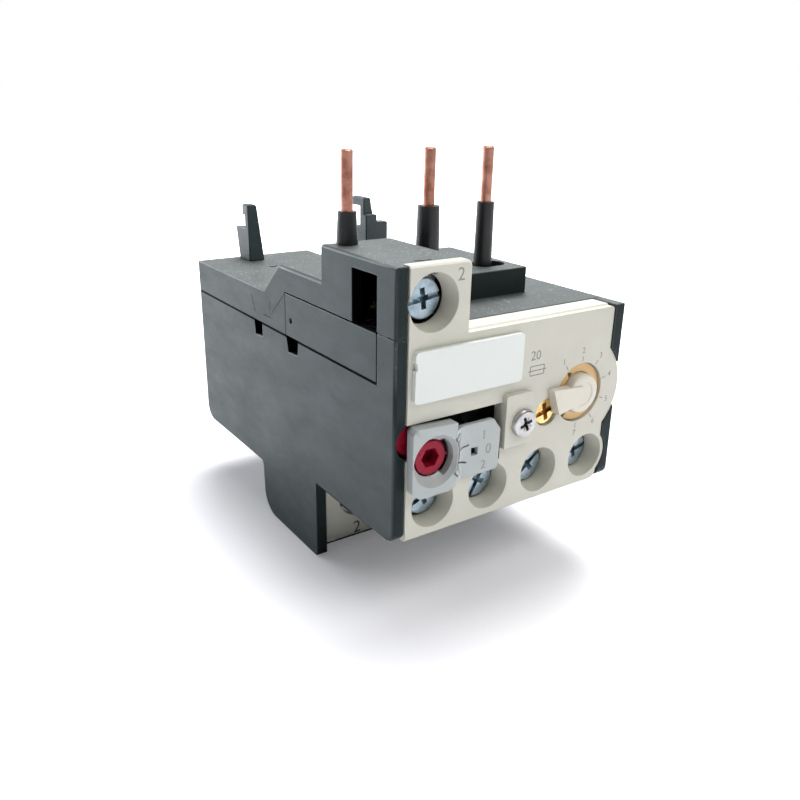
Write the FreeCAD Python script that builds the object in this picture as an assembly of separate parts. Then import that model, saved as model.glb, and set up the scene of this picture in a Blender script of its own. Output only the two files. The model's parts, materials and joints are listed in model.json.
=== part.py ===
import FreeCAD, Part
import math
import os

# Thermal overload relay with three plug-in pins, all lengths in millimetres.
# Modelling datum: x from the left side wall, y from the front face to the rear,
# z from the underside of the front part.  Each node is moved to the part frame when it
# is written: origin under the middle of the outer box, on the plane the foot stands on.
# +Z is up and the front with the terminals faces -Y.

V = FreeCAD.Vector

# ---- line pins: their pitch fits the contactor and sets the body's width
pin_pitch = 13.35
pin_first_x = 3.3
pin_shift = (0.2, 1.7, 0.0)   # the pins slide in their slots to suit the contactor
pin_y = 18.5
pin_r = 0.88
pin_root_r = 1.1         # the pin tapers from its bar up to its sleeve's mouth
pin_neck_r = 1.0
pin_top_z = 54.8
pin_bevel = 0.2
sleeve_top_z = 46.1
sleeve_top_r = (1.38, 1.72, 1.42)
sleeve_base_r = (1.66, 2.07, 1.58)
sleeve_fit = 0.02
sleeve_depth = 2.0       # how far a sleeve reaches below the platform's skin
pin_slot_r = 2.2
pin_slot_length = 4.3

# ---- overall body
load_offset_x = 5.6      # load terminal and heater stand this far right of their pin
side_margin = 9.4
body_width = pin_first_x + 2 * pin_pitch + load_offset_x + side_margin
body_depth = 72.0
wall = 2.0
seam_z = 24.0            # joint between lower and upper housing
roof_z = 31.2            # front roof
platform_z = 35.7        # raised platform that carries pins 2 and 3
deck_z = 30.1            # rear deck, left half
low_deck_z = 27.0        # rear deck, right half
deck_split_x = 25.0
platform_front = 13.4
platform_back = 34.6
platform_margin = 5.5    # the platform ends this far right of pin 3's place
platform_right = pin_first_x + 2 * pin_pitch + platform_margin
ramp_run_per_rise = 1.14
rear_floor_z = -3.8
foot_front = 23.5
foot_drop = 14.0
foot_bend = 4.5          # radius of the foot's rear corner
wall_front = 0.2         # the left wall's front edge lies just behind the cover's face
right_wall_front = -0.3
roof_skin = 1.8
edge_round = 0.5
rear_bend = 3.0
seam_lap = 0.1           # hairline between parts that meet at an edge
snap_depth = 0.6         # skin left outside the snap windows
snap_front = (28.5, 29.0, 32.2, 33.0)
snap_rear = (42.4, 42.4, 45.2, 45.6)
snap_z = (21.6, 21.4)
deck_slot_x = (10.1, 11.5)
deck_slot_y = (59.1, 60.1)

# ---- terminal tower at the left front (coil terminal)
tower_width = 12.4
tower_depth = 20.2
tower_z = 41.3
tower_screw_x = 6.2
tower_screw_z = 36.0
tower_well_r = 3.6
window_y = (4.9, 11.4)
window_z = (31.5, 39.4)
tower_slot = (4.9, 7.5, 2.6, 3.4)
tower_nut_thick = 2.4

# ---- side panel
panel_y = (5.0, 33.0)
panel_thick = 1.0
panel_gap = 0.15

# ---- front cover
cover_thick = 1.8
cover_top_z = 30.9
cover_strip_back = 4.4
cover_lip = 4.0
cover_lip_thick = 1.6
cover_side_gap = 0.1
cover_rise = 0.05        # the cover stands this far above the tower's roof
cover_step_gap = 0.3     # and reaches this far past the tower's right wall
cover_bevel = 0.35
well_depth = 3.2         # the wells' walls reach behind the plate as collars
well_flare = 0.6
well_skin = 0.7
well_rim = 0.7           # the cover bulges this far round the last well, in front of the right wall
tab_z = (11.3, 20.0)
tab_proud = 1.0
tab_left = 3.5           # reach of the tab to both sides of the cover screw
tab_right = 2.3
recess_z = (9.4, 18.8)

# ---- auxiliary terminals on the front
aux_count = 4
aux_first_x = 7.1
aux_right_margin = 5.59
aux_pitch = (body_width - aux_first_x - aux_right_margin) / (aux_count - 1)
aux_z = 5.2
aux_well_r = 3.3
aux_head_r = 3.0
aux_head_y = 2.7
aux_head_thick = 1.6
aux_shank_r = 1.6
aux_clamp_half = 3.1
aux_clamp_half_z = 2.9
aux_clamp_thick = 1.0
aux_strip_y = 9.9
strip_thick = 0.8
aux_nut_r = 2.6
aux_nut_back = 12.0
nut_skin = 0.2           # the screws end this far inside their nuts' rear faces
fit_gap = 0.06           # running fit on the radius
free_gap = 0.3           # clearance between parts that move past each other

cross_reach = 0.66       # half length of a screw's cross, as a share of its head
cross_depth = 0.55       # and its depth, as a share of the head's thickness
aux_cross_width = 0.8
load_cross_width = 1.0
brass_cross_width = 0.9
cover_cross_width = 0.7

# ---- bars from the line pins to the heaters
line_bar_z = 21.7
line_bar_half = 1.2
line_bar_back = 47.4
line_drop_half = 1.2

# ---- load terminals in the foot
load_z = -4.6
load_well_r = 3.9
load_head_r = 3.6
load_head_y = 26.6
load_head_thick = 2.4
load_shank_r = 2.0
load_tip = 0.4           # how far the screws reach into their cages
load_cover_y = 24.2
load_cover_thick = 1.8
cage_half = 4.6
cage_y = (29.3, 39.2)
cage_z = (-9.2, -0.6)
cage_wall = 1.0
foot_back = cage_y[1] + 5.3
load_plate_half = 3.0
load_bar_thick = 1.0
load_leg_z = 0.2
load_leg_half = 2.0
load_slot_half = 4.0     # wire slot in the foot's underside
load_slot_front = 2.3
load_slot_back = 0.6

# ---- heaters, bimetals and sliders
strip_y = (50.0, 55.0)
strip_half = 0.5
strip_root_z = 1.5
strip_top_z = 21.5
heater_z = (5.0, 14.5)
heater_half_x = 2.0
heater_y_margin = 0.9
heater_turns = 5
heater_skin = 0.6
barrier_top_z = 16.1
barrier_half = 0.6
slider_y = (48.5, 56.5)
slider_thick = 2.0
slider_gap = 0.3

# ---- trip lever and contact carrier
lever_x = body_width - 6.1
lever_y = 46.0
lever_pin_r = 1.0
lever_hub_r = 1.75
lever_z = (17.5, 20.3)
lever_arm_half = 0.6
slider_x = (5.5, lever_x + lever_arm_half)
lever_front_y = 21.0
lever_rear_y = 53.5
slider_nose_y = (51.0, 53.5)
slider_nose = 1.0         # only this nose reaches the lever, so that the bar's corner stays clear
carrier_x = (9.0, lever_x - lever_arm_half - free_gap)
carrier_y = (18.5, 23.5)
carrier_z = (14.0, 17.0)
carrier_travel = 2.4
tab_thick = 0.8
tab_y = (19.5, 22.5)
tab_top_z = 12.9
contact_gap_closed = 0.15
bridge_margin = 0.5      # a bridge is narrower than its tabs by this on each side
bridge_drop = 3.2
tab_shift = (0.0, 0.0, -2.1, -2.4)   # each contact tab from its terminal screw
post_from_tab = (1.63, 2.54)   # guide posts stand this far from the tabs on both sides
post_thick = 1.5
post_wall = 0.7          # cheek of a post beside the carrier
post_grip = 1.5          # how far the cheeks reach up beside the carrier

# ---- reset button, mode selector and legend plate
reset_x = 6.45
reset_z = 12.8
plate_front = -1.5
plate_step = 0.8         # the plate's right part lies lower by this
plate_skin = 2.0         # thickness of the left part, which reaches into the cover's recess
plate_left_x = 2.2
plate_right_x = 19.1
plate_z = (7.4, 8.3, 16.9, 18.5)   # edges: left part, right part, right part, left part
legend_split_x = 10.1    # right edge of the raised left part
legend_ramp = 1.7        # width of the slope down to the right part
plate_hole_r = 2.95
plate_sink_r = 4.1
plate_leg_x = (11.6, 16.2)
plate_leg_half = 2.0
plate_leg_thick = 1.0
button_hub_r = 3.1
button_front = 0.8
lobe_front = 1.0
button_hub_back = 3.0
button_stem_r = 3.0
button_stem_back = 8.0
lobe_x = 3.2
lobe_z = 16.0
lobe_r = 2.5
lobe_cut_depth = 5.2
lobe_bevel = 0.4
selector_r = 2.7
selector_shaft_r = 1.9
selector_front = 0.1
selector_socket_r = 1.6
selector_socket_depth = 2.2
selector_pointer_half = 1.3
selector_tip_r = 3.3      # reach of the pointer
selector_slot_angle = 58  # half angle of the pointer's slot in the legend plate
guide_y = (5.5, 13.0)
guide_end = 1.0
guide_wall = (0.8, 1.0)   # the guide's walls round the recess: below and beside it, above it
spring_wire_r = 0.28
coil_steps = 12          # wire segments in one turn of a spring
wire_sides = 4
reset_spring_r = 2.3
carrier_spring_r = 1.0
carrier_nose_r = 0.5
carrier_nose = 3.0
test_x = 14.1
test_z = 12.3
test_half = 0.5
test_hole_half = 0.65
test_y = (1.4, 9.5)

# ---- dial, calibration screw and cover screw
dial_x = body_width - 8.5
dial_z = 17.2
bulge_r = 9.2
dial_ring_r = 4.9
dial_knob_r = 3.3
knob_bevel = 0.5
fin_length = 6.0
fin_root_half = 1.5
fin_tip_z = (0.7, 1.3)
dial_recess_depth = 1.4
ring_thick = 0.6
ring_sweep = 250
ring_start = -75
ring_front = 0.5
dial_boss_back = 3.2
dial_boss_r = 5.8
dial_shaft_r = 2.0
dial_front = -1.0
cam_r = 3.2
cam_offset = 0.9
cam_back = 5.5
brass_x = dial_x - 7.1
brass_z = 15.2
brass_head_r = 2.25
brass_head_y = 0.4
brass_head_thick = 1.3
brass_shank_r = 1.2
screw_x = dial_x - 13.2
screw_z = 15.1
screw_head_r = 2.25
screw_shank_r = 1.3
cover_head_thick = 0.9
boss_y = (6.5, 9.5)
boss_drop = 2.2          # the bosses reach this far below their screws
screw_end = 0.5          # and the screws this far out of the bosses
boss_half = 1.6
tab_x = (screw_x - tab_left, screw_x + tab_right)
recess_x = (2.4, tab_x[0])

# ---- marker plate and hooks
marker_x = (2.8, 22.7)
marker_z = (22.0, 29.6)
marker_proud = 0.8
hook_y = body_depth - 6.0
hook_top_z = 41.4
hook_blade = 1.6
hook_corner = 0.8
left_hook_x = 8.7
left_hook_widths = (3.3, 1.9)
left_hook_nose = (0.95, 2.2)
left_hook_rib = (3.3, 4.4, 36.5)
right_hook_x = body_width - 9.1
right_hook_widths = (3.7, 1.7)
right_hook_nose = (3.1, 1.9)
right_hook_rib = (2.7, 2.7, 35.0)
hook_rib_thick = 1.5
hook_skirt = (1.0, 37.8)   # the right hook's front is thicker up to this height
hook_side = (1.9, 36.1)    # block beside the right hook: width and top

# centre of the part's outer box at the foot's standing face
part_origin = V((dial_x + bulge_r) / 2, (body_depth - tab_proud - cover_head_thick) / 2, -foot_drop)


def box(x0, x1, y0, y1, z0, z1):
    return Part.makeBox(x1 - x0, y1 - y0, z1 - z0, V(x0, y0, z0))


def rod_y(x, z, r, y0, y1):
    return Part.makeCylinder(r, y1 - y0, V(x, y0, z), V(0, 1, 0))


def rod_z(x, y, r, z0, z1):
    return Part.makeCylinder(r, z1 - z0, V(x, y, z0), V(0, 0, 1))


def cone_y(x, z, r0, r1, y0, y1):
    return Part.makeCone(r0, r1, y1 - y0, V(x, y0, z), V(0, 1, 0))


def join(shapes):
    shapes = list(shapes)
    whole = shapes[0]
    if len(shapes) > 1:
        whole = whole.fuse(shapes[1:])
    return whole.removeSplitter()


def slab(points, normal, low, high):
    """Extrudes a closed outline between two planes; a point is (u, v) or (u, v, corner radius)."""
    def place(u, v):
        return {"x": V(low, u, v), "y": V(u, low, v), "z": V(u, v, low)}[normal]

    corners = [place(p[0], p[1]) for p in points]
    radii = [p[2] if len(p) > 2 else 0.0 for p in points]
    count = len(corners)
    edges = []
    starts = []
    ends = []
    for i in range(count):
        here = corners[i]
        before = (corners[i - 1] - here).normalize()
        after = (corners[(i + 1) % count] - here).normalize()
        half = before.getAngle(after) / 2
        reach = radii[i] / math.tan(half)
        starts.append(here + before * reach)
        ends.append(here + after * reach)
    for i in range(count):
        if radii[i] > 0:
            before = (corners[i - 1] - corners[i]).normalize()
            after = (corners[(i + 1) % count] - corners[i]).normalize()
            half = before.getAngle(after) / 2
            top = corners[i] + (before + after).normalize() * (radii[i] / math.sin(half) - radii[i])
            edges.append(Part.Arc(starts[i], top, ends[i]).toShape())
        edges.append(Part.LineSegment(ends[i], starts[(i + 1) % count]).toShape())
    face = Part.Face(Part.Wire(edges))
    along = {"x": V(1, 0, 0), "y": V(0, 1, 0), "z": V(0, 0, 1)}[normal]
    return face.extrude(along * (high - low))


def round_edges(shape, radius, chosen):
    edges = [e for e in shape.Edges if e.Length > 4 * radius and chosen(e)]
    return shape.makeFillet(radius, edges)


def near(value, target):
    return abs(value - target) < 0.01


def phase_x():
    return [pin_first_x + pin_pitch * k for k in range(3)]


def load_x():
    return [x + load_offset_x for x in phase_x()]


def pin_x():
    return [x + shift for x, shift in zip(phase_x(), pin_shift)]


def aux_x():
    return [aux_first_x + aux_pitch * k for k in range(aux_count)]


def contact_tab_x(k):
    return aux_x()[k] + tab_shift[k]


def well_collar(x, z, r):
    """Outside of a terminal well's wall behind the front plate."""
    return rod_y(x, z, r + well_skin, cover_thick - seam_lap, well_depth)


def last_well_rim():
    return aux_well_r + well_flare + well_rim


def well_bore(x, z, r):
    return cone_y(x, z, r + well_flare, r, -seam_lap, well_depth + seam_lap)


# ---- lower housing: two cheeks, floors, rear wall, foot and phase barriers in one moulding
def cheek_profile(front, front_top):
    bottom = [(front, 0.0, wall), (foot_front, 0.0), (foot_front, -foot_drop, edge_round),
              (foot_back, -foot_drop, foot_bend)]
    rear = [(foot_back, rear_floor_z, 2 * edge_round), (body_depth, rear_floor_z, rear_bend),
            (body_depth, seam_z)]
    top = [(cover_strip_back + 0.4, seam_z), (cover_strip_back + 0.4, front_top), (front, front_top)]
    return bottom + rear + top


def make_lower_housing():
    right = body_width - wall
    left_cheek = slab(cheek_profile(wall_front, window_z[0] - seam_lap), "x", 0, wall)
    right_cheek = slab(cheek_profile(right_wall_front, roof_z), "x", right, body_width)
    right_cheek = right_cheek.cut(rod_y(dial_x, dial_z, bulge_r + seam_lap, right_wall_front - 1,
                                        cover_thick + 2 * seam_lap))
    for r, back in ((last_well_rim(), cover_thick + seam_lap), (aux_well_r + well_skin, well_depth)):
        right_cheek = right_cheek.cut(rod_y(aux_x()[-1], aux_z, r + seam_lap, right_wall_front - 1,
                                            back + seam_lap))
    front_floor = box(wall, right, cover_lip + 2 * seam_lap, foot_front, 0, wall)
    foot_floor = box(wall, right, load_cover_y + load_cover_thick, foot_back, -foot_drop, wall - foot_drop)
    foot_rear = box(wall, right, foot_back - wall, foot_back, -foot_drop, rear_floor_z + wall)
    foot_bend_blank = box(wall, right, foot_back - foot_bend, foot_back, -foot_drop, foot_bend - foot_drop)
    foot_bend_solid = Part.makeCylinder(foot_bend, right - wall,
                                        V(wall, foot_back - foot_bend, foot_bend - foot_drop), V(1, 0, 0))
    foot_rear = foot_rear.cut(foot_bend_blank.cut(foot_bend_solid))
    foot_floor = foot_floor.common(slab(cheek_profile(wall_front, roof_z), "x", wall, right))
    rear_floor = box(wall, right, foot_back - wall, body_depth - wall, rear_floor_z, rear_floor_z + wall)
    rear_wall = box(wall, right, body_depth - wall, body_depth, rear_floor_z + rear_bend, seam_z)
    bend_top = rear_floor_z + rear_bend + seam_lap
    rear_corner = slab([(body_depth - rear_bend, rear_floor_z), (body_depth, rear_floor_z, rear_bend - 0.01),
                        (body_depth, bend_top), (body_depth - rear_bend, bend_top)], "x", wall, right)
    barriers = []
    for x in load_x()[:2]:
        middle = x + pin_pitch / 2
        barriers.append(box(middle - barrier_half, middle + barrier_half, load_cover_y + load_cover_thick,
                            body_depth - wall, rear_floor_z + wall, barrier_top_z))
        barriers.append(box(middle - barrier_half, middle + barrier_half, load_cover_y + load_cover_thick,
                            foot_back - wall, wall - foot_drop, rear_floor_z + wall))
    posts = []
    for x in (contact_tab_x(1) + post_from_tab[0], contact_tab_x(2) - post_from_tab[1]):
        outer = free_gap + post_wall
        body = box(x, x + post_thick, carrier_y[0] - outer, carrier_y[1] + outer, wall,
                   carrier_z[0] + post_grip)
        posts.append(body.cut(box(x, x + post_thick, carrier_y[0] - free_gap, carrier_y[1] + free_gap,
                                  carrier_z[0] - free_gap, carrier_z[0] + post_grip + 1)))
    shape = join([left_cheek, right_cheek, front_floor, foot_floor, foot_rear, rear_floor, rear_wall,
                  rear_corner] + barriers + posts)
    for x in aux_x():
        shape = shape.cut(box(x - aux_clamp_half, x + aux_clamp_half,
                              aux_head_y + aux_head_thick + aux_clamp_thick - free_gap,
                              aux_strip_y - free_gap, -1, wall + 1))
    for x in load_x():
        shape = shape.cut(box(x - load_slot_half, x + load_slot_half, cage_y[0] + load_slot_front,
                              cage_y[1] - load_slot_back, -foot_drop - 1, wall - foot_drop + 1))
    # snap windows below the seam, and the pocket that lets the reset button's lobe pass the left wall
    for top_front, low_front, low_back, top_back in (snap_front, snap_rear):
        shape = shape.cut(slab([(top_front, seam_z + 1), (low_front, snap_z[0]), (low_back, snap_z[1]),
                                (top_back, seam_z + 1)], "x", -1, wall - snap_depth))
    lobe_pocket = rod_y(lobe_x, lobe_z, lobe_r + free_gap, -1, lobe_cut_depth)
    shape = shape.cut(lobe_pocket)
    return round_edges(shape, edge_round,
                       lambda e: near(e.CenterOfMass.x, 0) and near(e.BoundBox.YMax, wall_front))


# ---- upper housing: a stepped lid whose inside follows its outside
def lid_blocks(inset):
    right = body_width - inset
    slope = (platform_z - seam_z) * ramp_run_per_rise
    platform = slab([(platform_front + inset, seam_z - inset), (platform_front + inset, platform_z - inset),
                     (platform_back - inset * 0.3, platform_z - inset),
                     (platform_back + slope - inset * 0.3, seam_z - inset)],
                    "x", inset if inset else 0, platform_right - inset)
    deck = box(inset, deck_split_x - inset, platform_front + inset, body_depth - inset, seam_z - inset,
               deck_z - inset)
    low_deck = box(inset, right, platform_front + inset, body_depth - inset, seam_z - inset, low_deck_z - inset)
    front = box(inset, right, cover_strip_back + 0.4 + inset, platform_back - inset, seam_z - inset,
                roof_z - inset)
    tower = box(inset, tower_width - inset, cover_thick + 0.1 - (1 if inset else 0), tower_depth - inset,
                seam_z - inset, tower_z - inset)
    return [platform, deck, low_deck, front, tower]


def make_upper_housing():
    shape = join(lid_blocks(0))
    # the tower's left wall reaches forward beside the cover, above the lower housing's front post
    post = box(0, wall, wall_front, cover_thick + 0.2, window_z[0], tower_z)
    shape = join([shape, post])
    shape = round_edges(shape, edge_round, lambda e: (
        near(e.CenterOfMass.x, 0) and e.CenterOfMass.z > roof_z and near(e.BoundBox.ZLength, 0)
        or near(e.BoundBox.XMax, 0) and near(e.BoundBox.YMax, wall_front)))
    hook_pads = [box(x, x + width, hook_y - reach, body_depth - roof_skin, floor - roof_skin - seam_lap, floor)
                 for x, width, reach, floor in (
                     (left_hook_x, left_hook_widths[0], 0, deck_z),
                     (right_hook_x, right_hook_widths[0] + hook_side[0], hook_skirt[0], low_deck_z))]
    hollow = lid_blocks(roof_skin)
    for piece in hollow:
        shape = shape.cut(piece)
    shape = shape.cut(box(0, tower_width + 0.1, wall_front - 1, cover_strip_back + 0.4, seam_z - 1,
                          window_z[0] - 0.1).cut(
        box(wall, tower_width + 0.1, cover_thick + 0.1, cover_strip_back + 1, window_z[0] - 1, window_z[0])))
    # window for the coil terminal's wire, slot on the tower, seat for the side panel
    shape = shape.cut(box(-1, wall + 0.1, window_y[0], window_y[1], window_z[0], window_z[1]))
    shape = shape.cut(box(tower_slot[0], tower_slot[1], tower_slot[2], tower_slot[3], tower_z - roof_skin - 1,
                          tower_z + 1))
    shape = shape.cut(box(-1, panel_thick, panel_y[0] - 1, panel_y[1], seam_z - 1, window_z[0]))
    # slots round pins 2 and 3, a plain hole for pin 1
    for k, x in enumerate(phase_x()):
        if k == 0:
            shape = shape.cut(rod_z(pin_x()[k], pin_y, pin_root_r + seam_lap, seam_z, tower_z + 1))
        else:
            ends = [rod_z(x + dx, pin_y, pin_slot_r, platform_z - roof_skin - 1, platform_z + 1)
                    for dx in (0, pin_slot_length - pin_slot_r)]
            middle = box(x, x + pin_slot_length - pin_slot_r, pin_y - pin_slot_r, pin_y + pin_slot_r,
                         platform_z - roof_skin - 1, platform_z + 1)
            shape = shape.cut(join(ends + [middle]))
    # bosses that hang from the roof and take the cover screw and the calibration screw
    for x, z, r in ((screw_x, screw_z, screw_shank_r), (brass_x, brass_z, brass_shank_r)):
        boss = box(x - boss_half, x + boss_half, boss_y[0], boss_y[1], z - boss_drop,
                   roof_z - roof_skin + seam_lap)
        shape = shape.fuse(boss).cut(rod_y(x, z, r + fit_gap, boss_y[0] - 1, boss_y[1] + 1))
    # rib that backs the coil terminal
    rib = box(roof_skin, tower_width - roof_skin, aux_nut_back + 0.9, aux_nut_back + 1.9, window_z[0] - 0.5,
              tower_z - roof_skin + 0.1)
    rib = rib.cut(rod_y(tower_screw_x, tower_screw_z, aux_nut_r + 0.1, aux_nut_back, aux_nut_back + 3))
    shape = shape.fuse(rib)
    shape = join([shape] + hook_pads)
    return shape.cut(box(*deck_slot_x, *deck_slot_y, deck_z - roof_skin - 1, deck_z + 1))


def make_side_panel():
    y0 = panel_y[0] - panel_gap + 0.1
    y1 = panel_y[1] - panel_gap
    shape = box(0, panel_thick, y0, y1, seam_z + panel_gap, window_z[0] - panel_gap)
    dimple = Part.makeCylinder(0.5, 0.4, V(0, panel_y[1] - 2.0, seam_z + 3.0), V(1, 0, 0))
    return shape.cut(dimple)


# ---- front cover with the terminal wells, the selector recess and the dial seat
def make_front_cover():
    left = wall + cover_side_gap
    right = body_width - wall - cover_side_gap
    outline = [(left, 0.0), (right, 0.0, 1.6), (right, cover_top_z, 0.6),
               (tower_width + cover_step_gap, cover_top_z),
               (tower_width + cover_step_gap, tower_z + cover_rise, 1.0), (left, tower_z + cover_rise)]
    plate = slab(outline, "y", 0, cover_thick)
    disc = rod_y(dial_x, dial_z, bulge_r, 0, cover_thick)
    disc = disc.common(box(dial_x, body_width + 2, 0, cover_thick, 0, tower_z))
    rim = rod_y(aux_x()[-1], aux_z, last_well_rim(), 0, cover_thick)
    rim = rim.common(box(aux_x()[-1], body_width, 0, cover_thick, 0, tower_z))
    strip = slab([(0.0, roof_z - 1.6), (cover_strip_back, roof_z - 1.6), (cover_strip_back, roof_z),
                  (1.2, roof_z), (0.0, cover_top_z - 0.9)], "x", tower_width + cover_step_gap, right - 0.6)
    bottom = box(left, right - 1.6, cover_thick - 0.1, cover_lip, 0, cover_lip_thick)
    boss = rod_y(dial_x, dial_z, dial_boss_r, cover_thick - seam_lap, dial_boss_back)
    tab = slab([(tab_x[0], tab_z[0]), (tab_x[1], tab_z[0]), (tab_x[1], tab_z[1], 1.2),
                (tab_x[0], tab_z[1], 0.4)],
               "y", -tab_proud, 0.1)
    room = box(left, body_width, 0, well_depth, 0, roof_z - roof_skin)
    collars = [well_collar(x, aux_z, aux_well_r).common(room) for x in aux_x()]
    tower_room = box(left + seam_lap, tower_width - roof_skin - seam_lap, 0, well_depth, window_z[0] - 1,
                     tower_z - roof_skin - seam_lap)
    collars.append(well_collar(tower_screw_x, tower_screw_z, tower_well_r).common(tower_room))
    shape = join([plate, disc, rim, strip, bottom, boss, tab] + collars)
    front_edges = [e for e in shape.Edges if e.Length > 4 * cover_bevel and near(e.CenterOfMass.y, 0)
                   and near(e.BoundBox.YLength, 0)
                   and (near(e.CenterOfMass.z, tower_z + cover_rise) or near(e.CenterOfMass.z, 0)
                        or near(e.CenterOfMass.x, tower_width + cover_step_gap))]
    shape = shape.makeChamfer(cover_bevel, front_edges)
    for x in aux_x():
        shape = shape.cut(well_bore(x, aux_z, aux_well_r))
    shape = shape.cut(well_bore(tower_screw_x, tower_screw_z, tower_well_r))
    shape = shape.cut(box(recess_x[0], recess_x[1], -1, cover_thick + 1, recess_z[0], recess_z[1]))
    shape = shape.cut(box(left - 0.1, recess_x[0] + 0.1, -1, cover_thick + 1, lobe_z - lobe_r - free_gap,
                          recess_z[1]))
    shape = shape.cut(rod_y(dial_x, dial_z, dial_ring_r + 0.15, -1, dial_recess_depth))
    shape = shape.cut(rod_y(dial_x, dial_z, dial_shaft_r + fit_gap, 0, dial_boss_back + 1))
    shape = shape.cut(rod_y(brass_x, brass_z, brass_head_r + 0.1, -1, cover_thick + 1))
    shape = shape.cut(rod_y(screw_x, screw_z, screw_shank_r + 0.2, -tab_proud - 1, cover_thick + 1))
    return shape


def make_marker_plate():
    shape = slab([(marker_x[0], marker_z[0], 0.7), (marker_x[1], marker_z[0], 0.7),
                  (marker_x[1], marker_z[1], 0.7), (marker_x[0], marker_z[1], 0.7)], "y", -marker_proud, 0)
    return shape.cut(box(marker_x[0] - 1, marker_x[0] + 0.3, -marker_proud - 1, 1, marker_z[1] - 2.6,
                         marker_z[1] - 1.6))


# ---- terminal cover in the foot
def make_terminal_cover():
    shape = box(wall, body_width - wall, load_cover_y, load_cover_y + load_cover_thick,
                wall - foot_drop - 0.4, 0)
    for x in load_x():
        shape = shape.cut(rod_y(x, load_z, load_well_r, load_cover_y - 1, load_cover_y + load_cover_thick + 1))
    return shape


# ---- screws, clamps and contact strips
def screw_y(x, z, head_r, head_y, head_thick, shank_r, tip_y, slot_w):
    head = rod_y(x, z, head_r, head_y, head_y + head_thick)
    shank = rod_y(x, z, shank_r, head_y + head_thick, tip_y)
    arm = head_r * cross_reach
    floor_y = head_y + head_thick * cross_depth
    cross = [box(x - slot_w / 2, x + slot_w / 2, head_y - 1, floor_y, z - arm, z + arm),
             box(x - arm, x + arm, head_y - 1, floor_y, z - slot_w / 2, z + slot_w / 2)]
    return join([head, shank]).cut(join(cross))


def make_aux_screws():
    tip_y = aux_nut_back - nut_skin
    return [screw_y(x, aux_z, aux_head_r, aux_head_y, aux_head_thick, aux_shank_r, tip_y, aux_cross_width)
            for x in aux_x()]


def clamp_plate(x, z, y):
    shape = box(x - aux_clamp_half, x + aux_clamp_half, y, y + aux_clamp_thick, z - aux_clamp_half_z,
                z + aux_clamp_half_z)
    return shape.cut(rod_y(x, z, aux_shank_r + fit_gap, y - 1, y + aux_clamp_thick + 1))


def make_aux_clamps():
    return [clamp_plate(x, aux_z, aux_head_y + aux_head_thick) for x in aux_x()]


def make_contact_strip(k):
    x = aux_x()[k]
    tab = contact_tab_x(k)
    z_top = aux_z + 2.8
    plate = box(x - 2.5, x + 2.5, aux_strip_y, aux_strip_y + strip_thick, wall + 0.6, z_top)
    nut = rod_y(x, aux_z, aux_nut_r, aux_strip_y + strip_thick, aux_nut_back)
    low = min(x, tab) - tab_thick / 2
    high = max(x, tab) + tab_thick / 2
    leg = box(low, high, aux_strip_y, tab_y[1], z_top - strip_thick, z_top)
    upright = box(tab - tab_thick / 2, tab + tab_thick / 2, tab_y[0], tab_y[1], z_top - strip_thick, tab_top_z)
    shape = join([plate, nut, leg, upright])
    return shape.cut(rod_y(x, aux_z, aux_shank_r + fit_gap, aux_strip_y - 1, aux_nut_back + 1))


def make_tower_screw():
    return screw_y(tower_screw_x, tower_screw_z, aux_head_r, aux_head_y, aux_head_thick, aux_shank_r,
                   aux_nut_back + tower_nut_thick - nut_skin, aux_cross_width)


def make_tower_clamp():
    return clamp_plate(tower_screw_x, tower_screw_z, aux_head_y + aux_head_thick)


def make_tower_strip():
    x = tower_screw_x
    z = tower_screw_z
    y = aux_nut_back
    plate = box(x - 2.9, x + 2.9, y, y + strip_thick, z - 3.1, z + 3.1)
    nut = rod_y(x, z, aux_nut_r, y + strip_thick, y + tower_nut_thick)
    tail = box(x - 1.5, x + 1.5, y, y + strip_thick, seam_z + 1, z - 3)
    return join([plate, nut, tail]).cut(rod_y(x, z, aux_shank_r + fit_gap, y - 1, y + 4))


def make_load_screws():
    tip_y = cage_y[0] + cage_wall + load_tip
    return [screw_y(x, load_z, load_head_r, load_head_y, load_head_thick, load_shank_r, tip_y, load_cross_width)
            for x in load_x()]


def make_load_clamp(x):
    shape = box(x - cage_half, x + cage_half, cage_y[0], cage_y[1], cage_z[0], cage_z[1])
    shape = shape.cut(box(x - cage_half + cage_wall, x + cage_half - cage_wall, cage_y[0] + cage_wall,
                          cage_y[1] - cage_wall, cage_z[0] - 1, cage_z[1] + 1))
    return shape.cut(rod_y(x, load_z, load_shank_r + fit_gap, cage_y[0] - 1, cage_y[0] + 2))


def make_load_bar(x):
    y = cage_y[0] + cage_wall + load_tip + nut_skin
    top = load_leg_z + load_bar_thick
    plate = box(x - load_plate_half, x + load_plate_half, y, y + load_bar_thick, cage_z[0] + nut_skin, top)
    leg = box(x - load_leg_half, x + load_leg_half, y, strip_y[1], load_leg_z, top)
    return join([plate, leg])


# ---- line pins and their sleeves
def pin_root(x, gap):
    return Part.makeCone(pin_root_r + gap, pin_neck_r + gap, sleeve_top_z - line_bar_z, V(x, pin_y, line_bar_z))


def make_line_pin(k):
    x = pin_x()[k]
    target = load_x()[k]
    root = pin_root(x, 0)
    bare = rod_z(x, pin_y, pin_r, sleeve_top_z, pin_top_z)
    bare = bare.makeChamfer(pin_bevel, [e for e in bare.Edges if near(e.CenterOfMass.z, pin_top_z)])
    bar = box(x - line_bar_half, x + line_bar_half, pin_y - line_bar_half, line_bar_back, line_bar_z,
              line_bar_z + 0.8)
    cross = box(x - line_bar_half, target + line_drop_half, line_bar_back - 2 * line_bar_half, line_bar_back,
                line_bar_z, line_bar_z + 0.8)
    drop = box(target - line_drop_half, target + line_drop_half, line_bar_back - strip_thick, line_bar_back,
               heater_z[1] - 0.5, line_bar_z + 0.8)
    return join([bare, root, bar, cross, drop])


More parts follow.
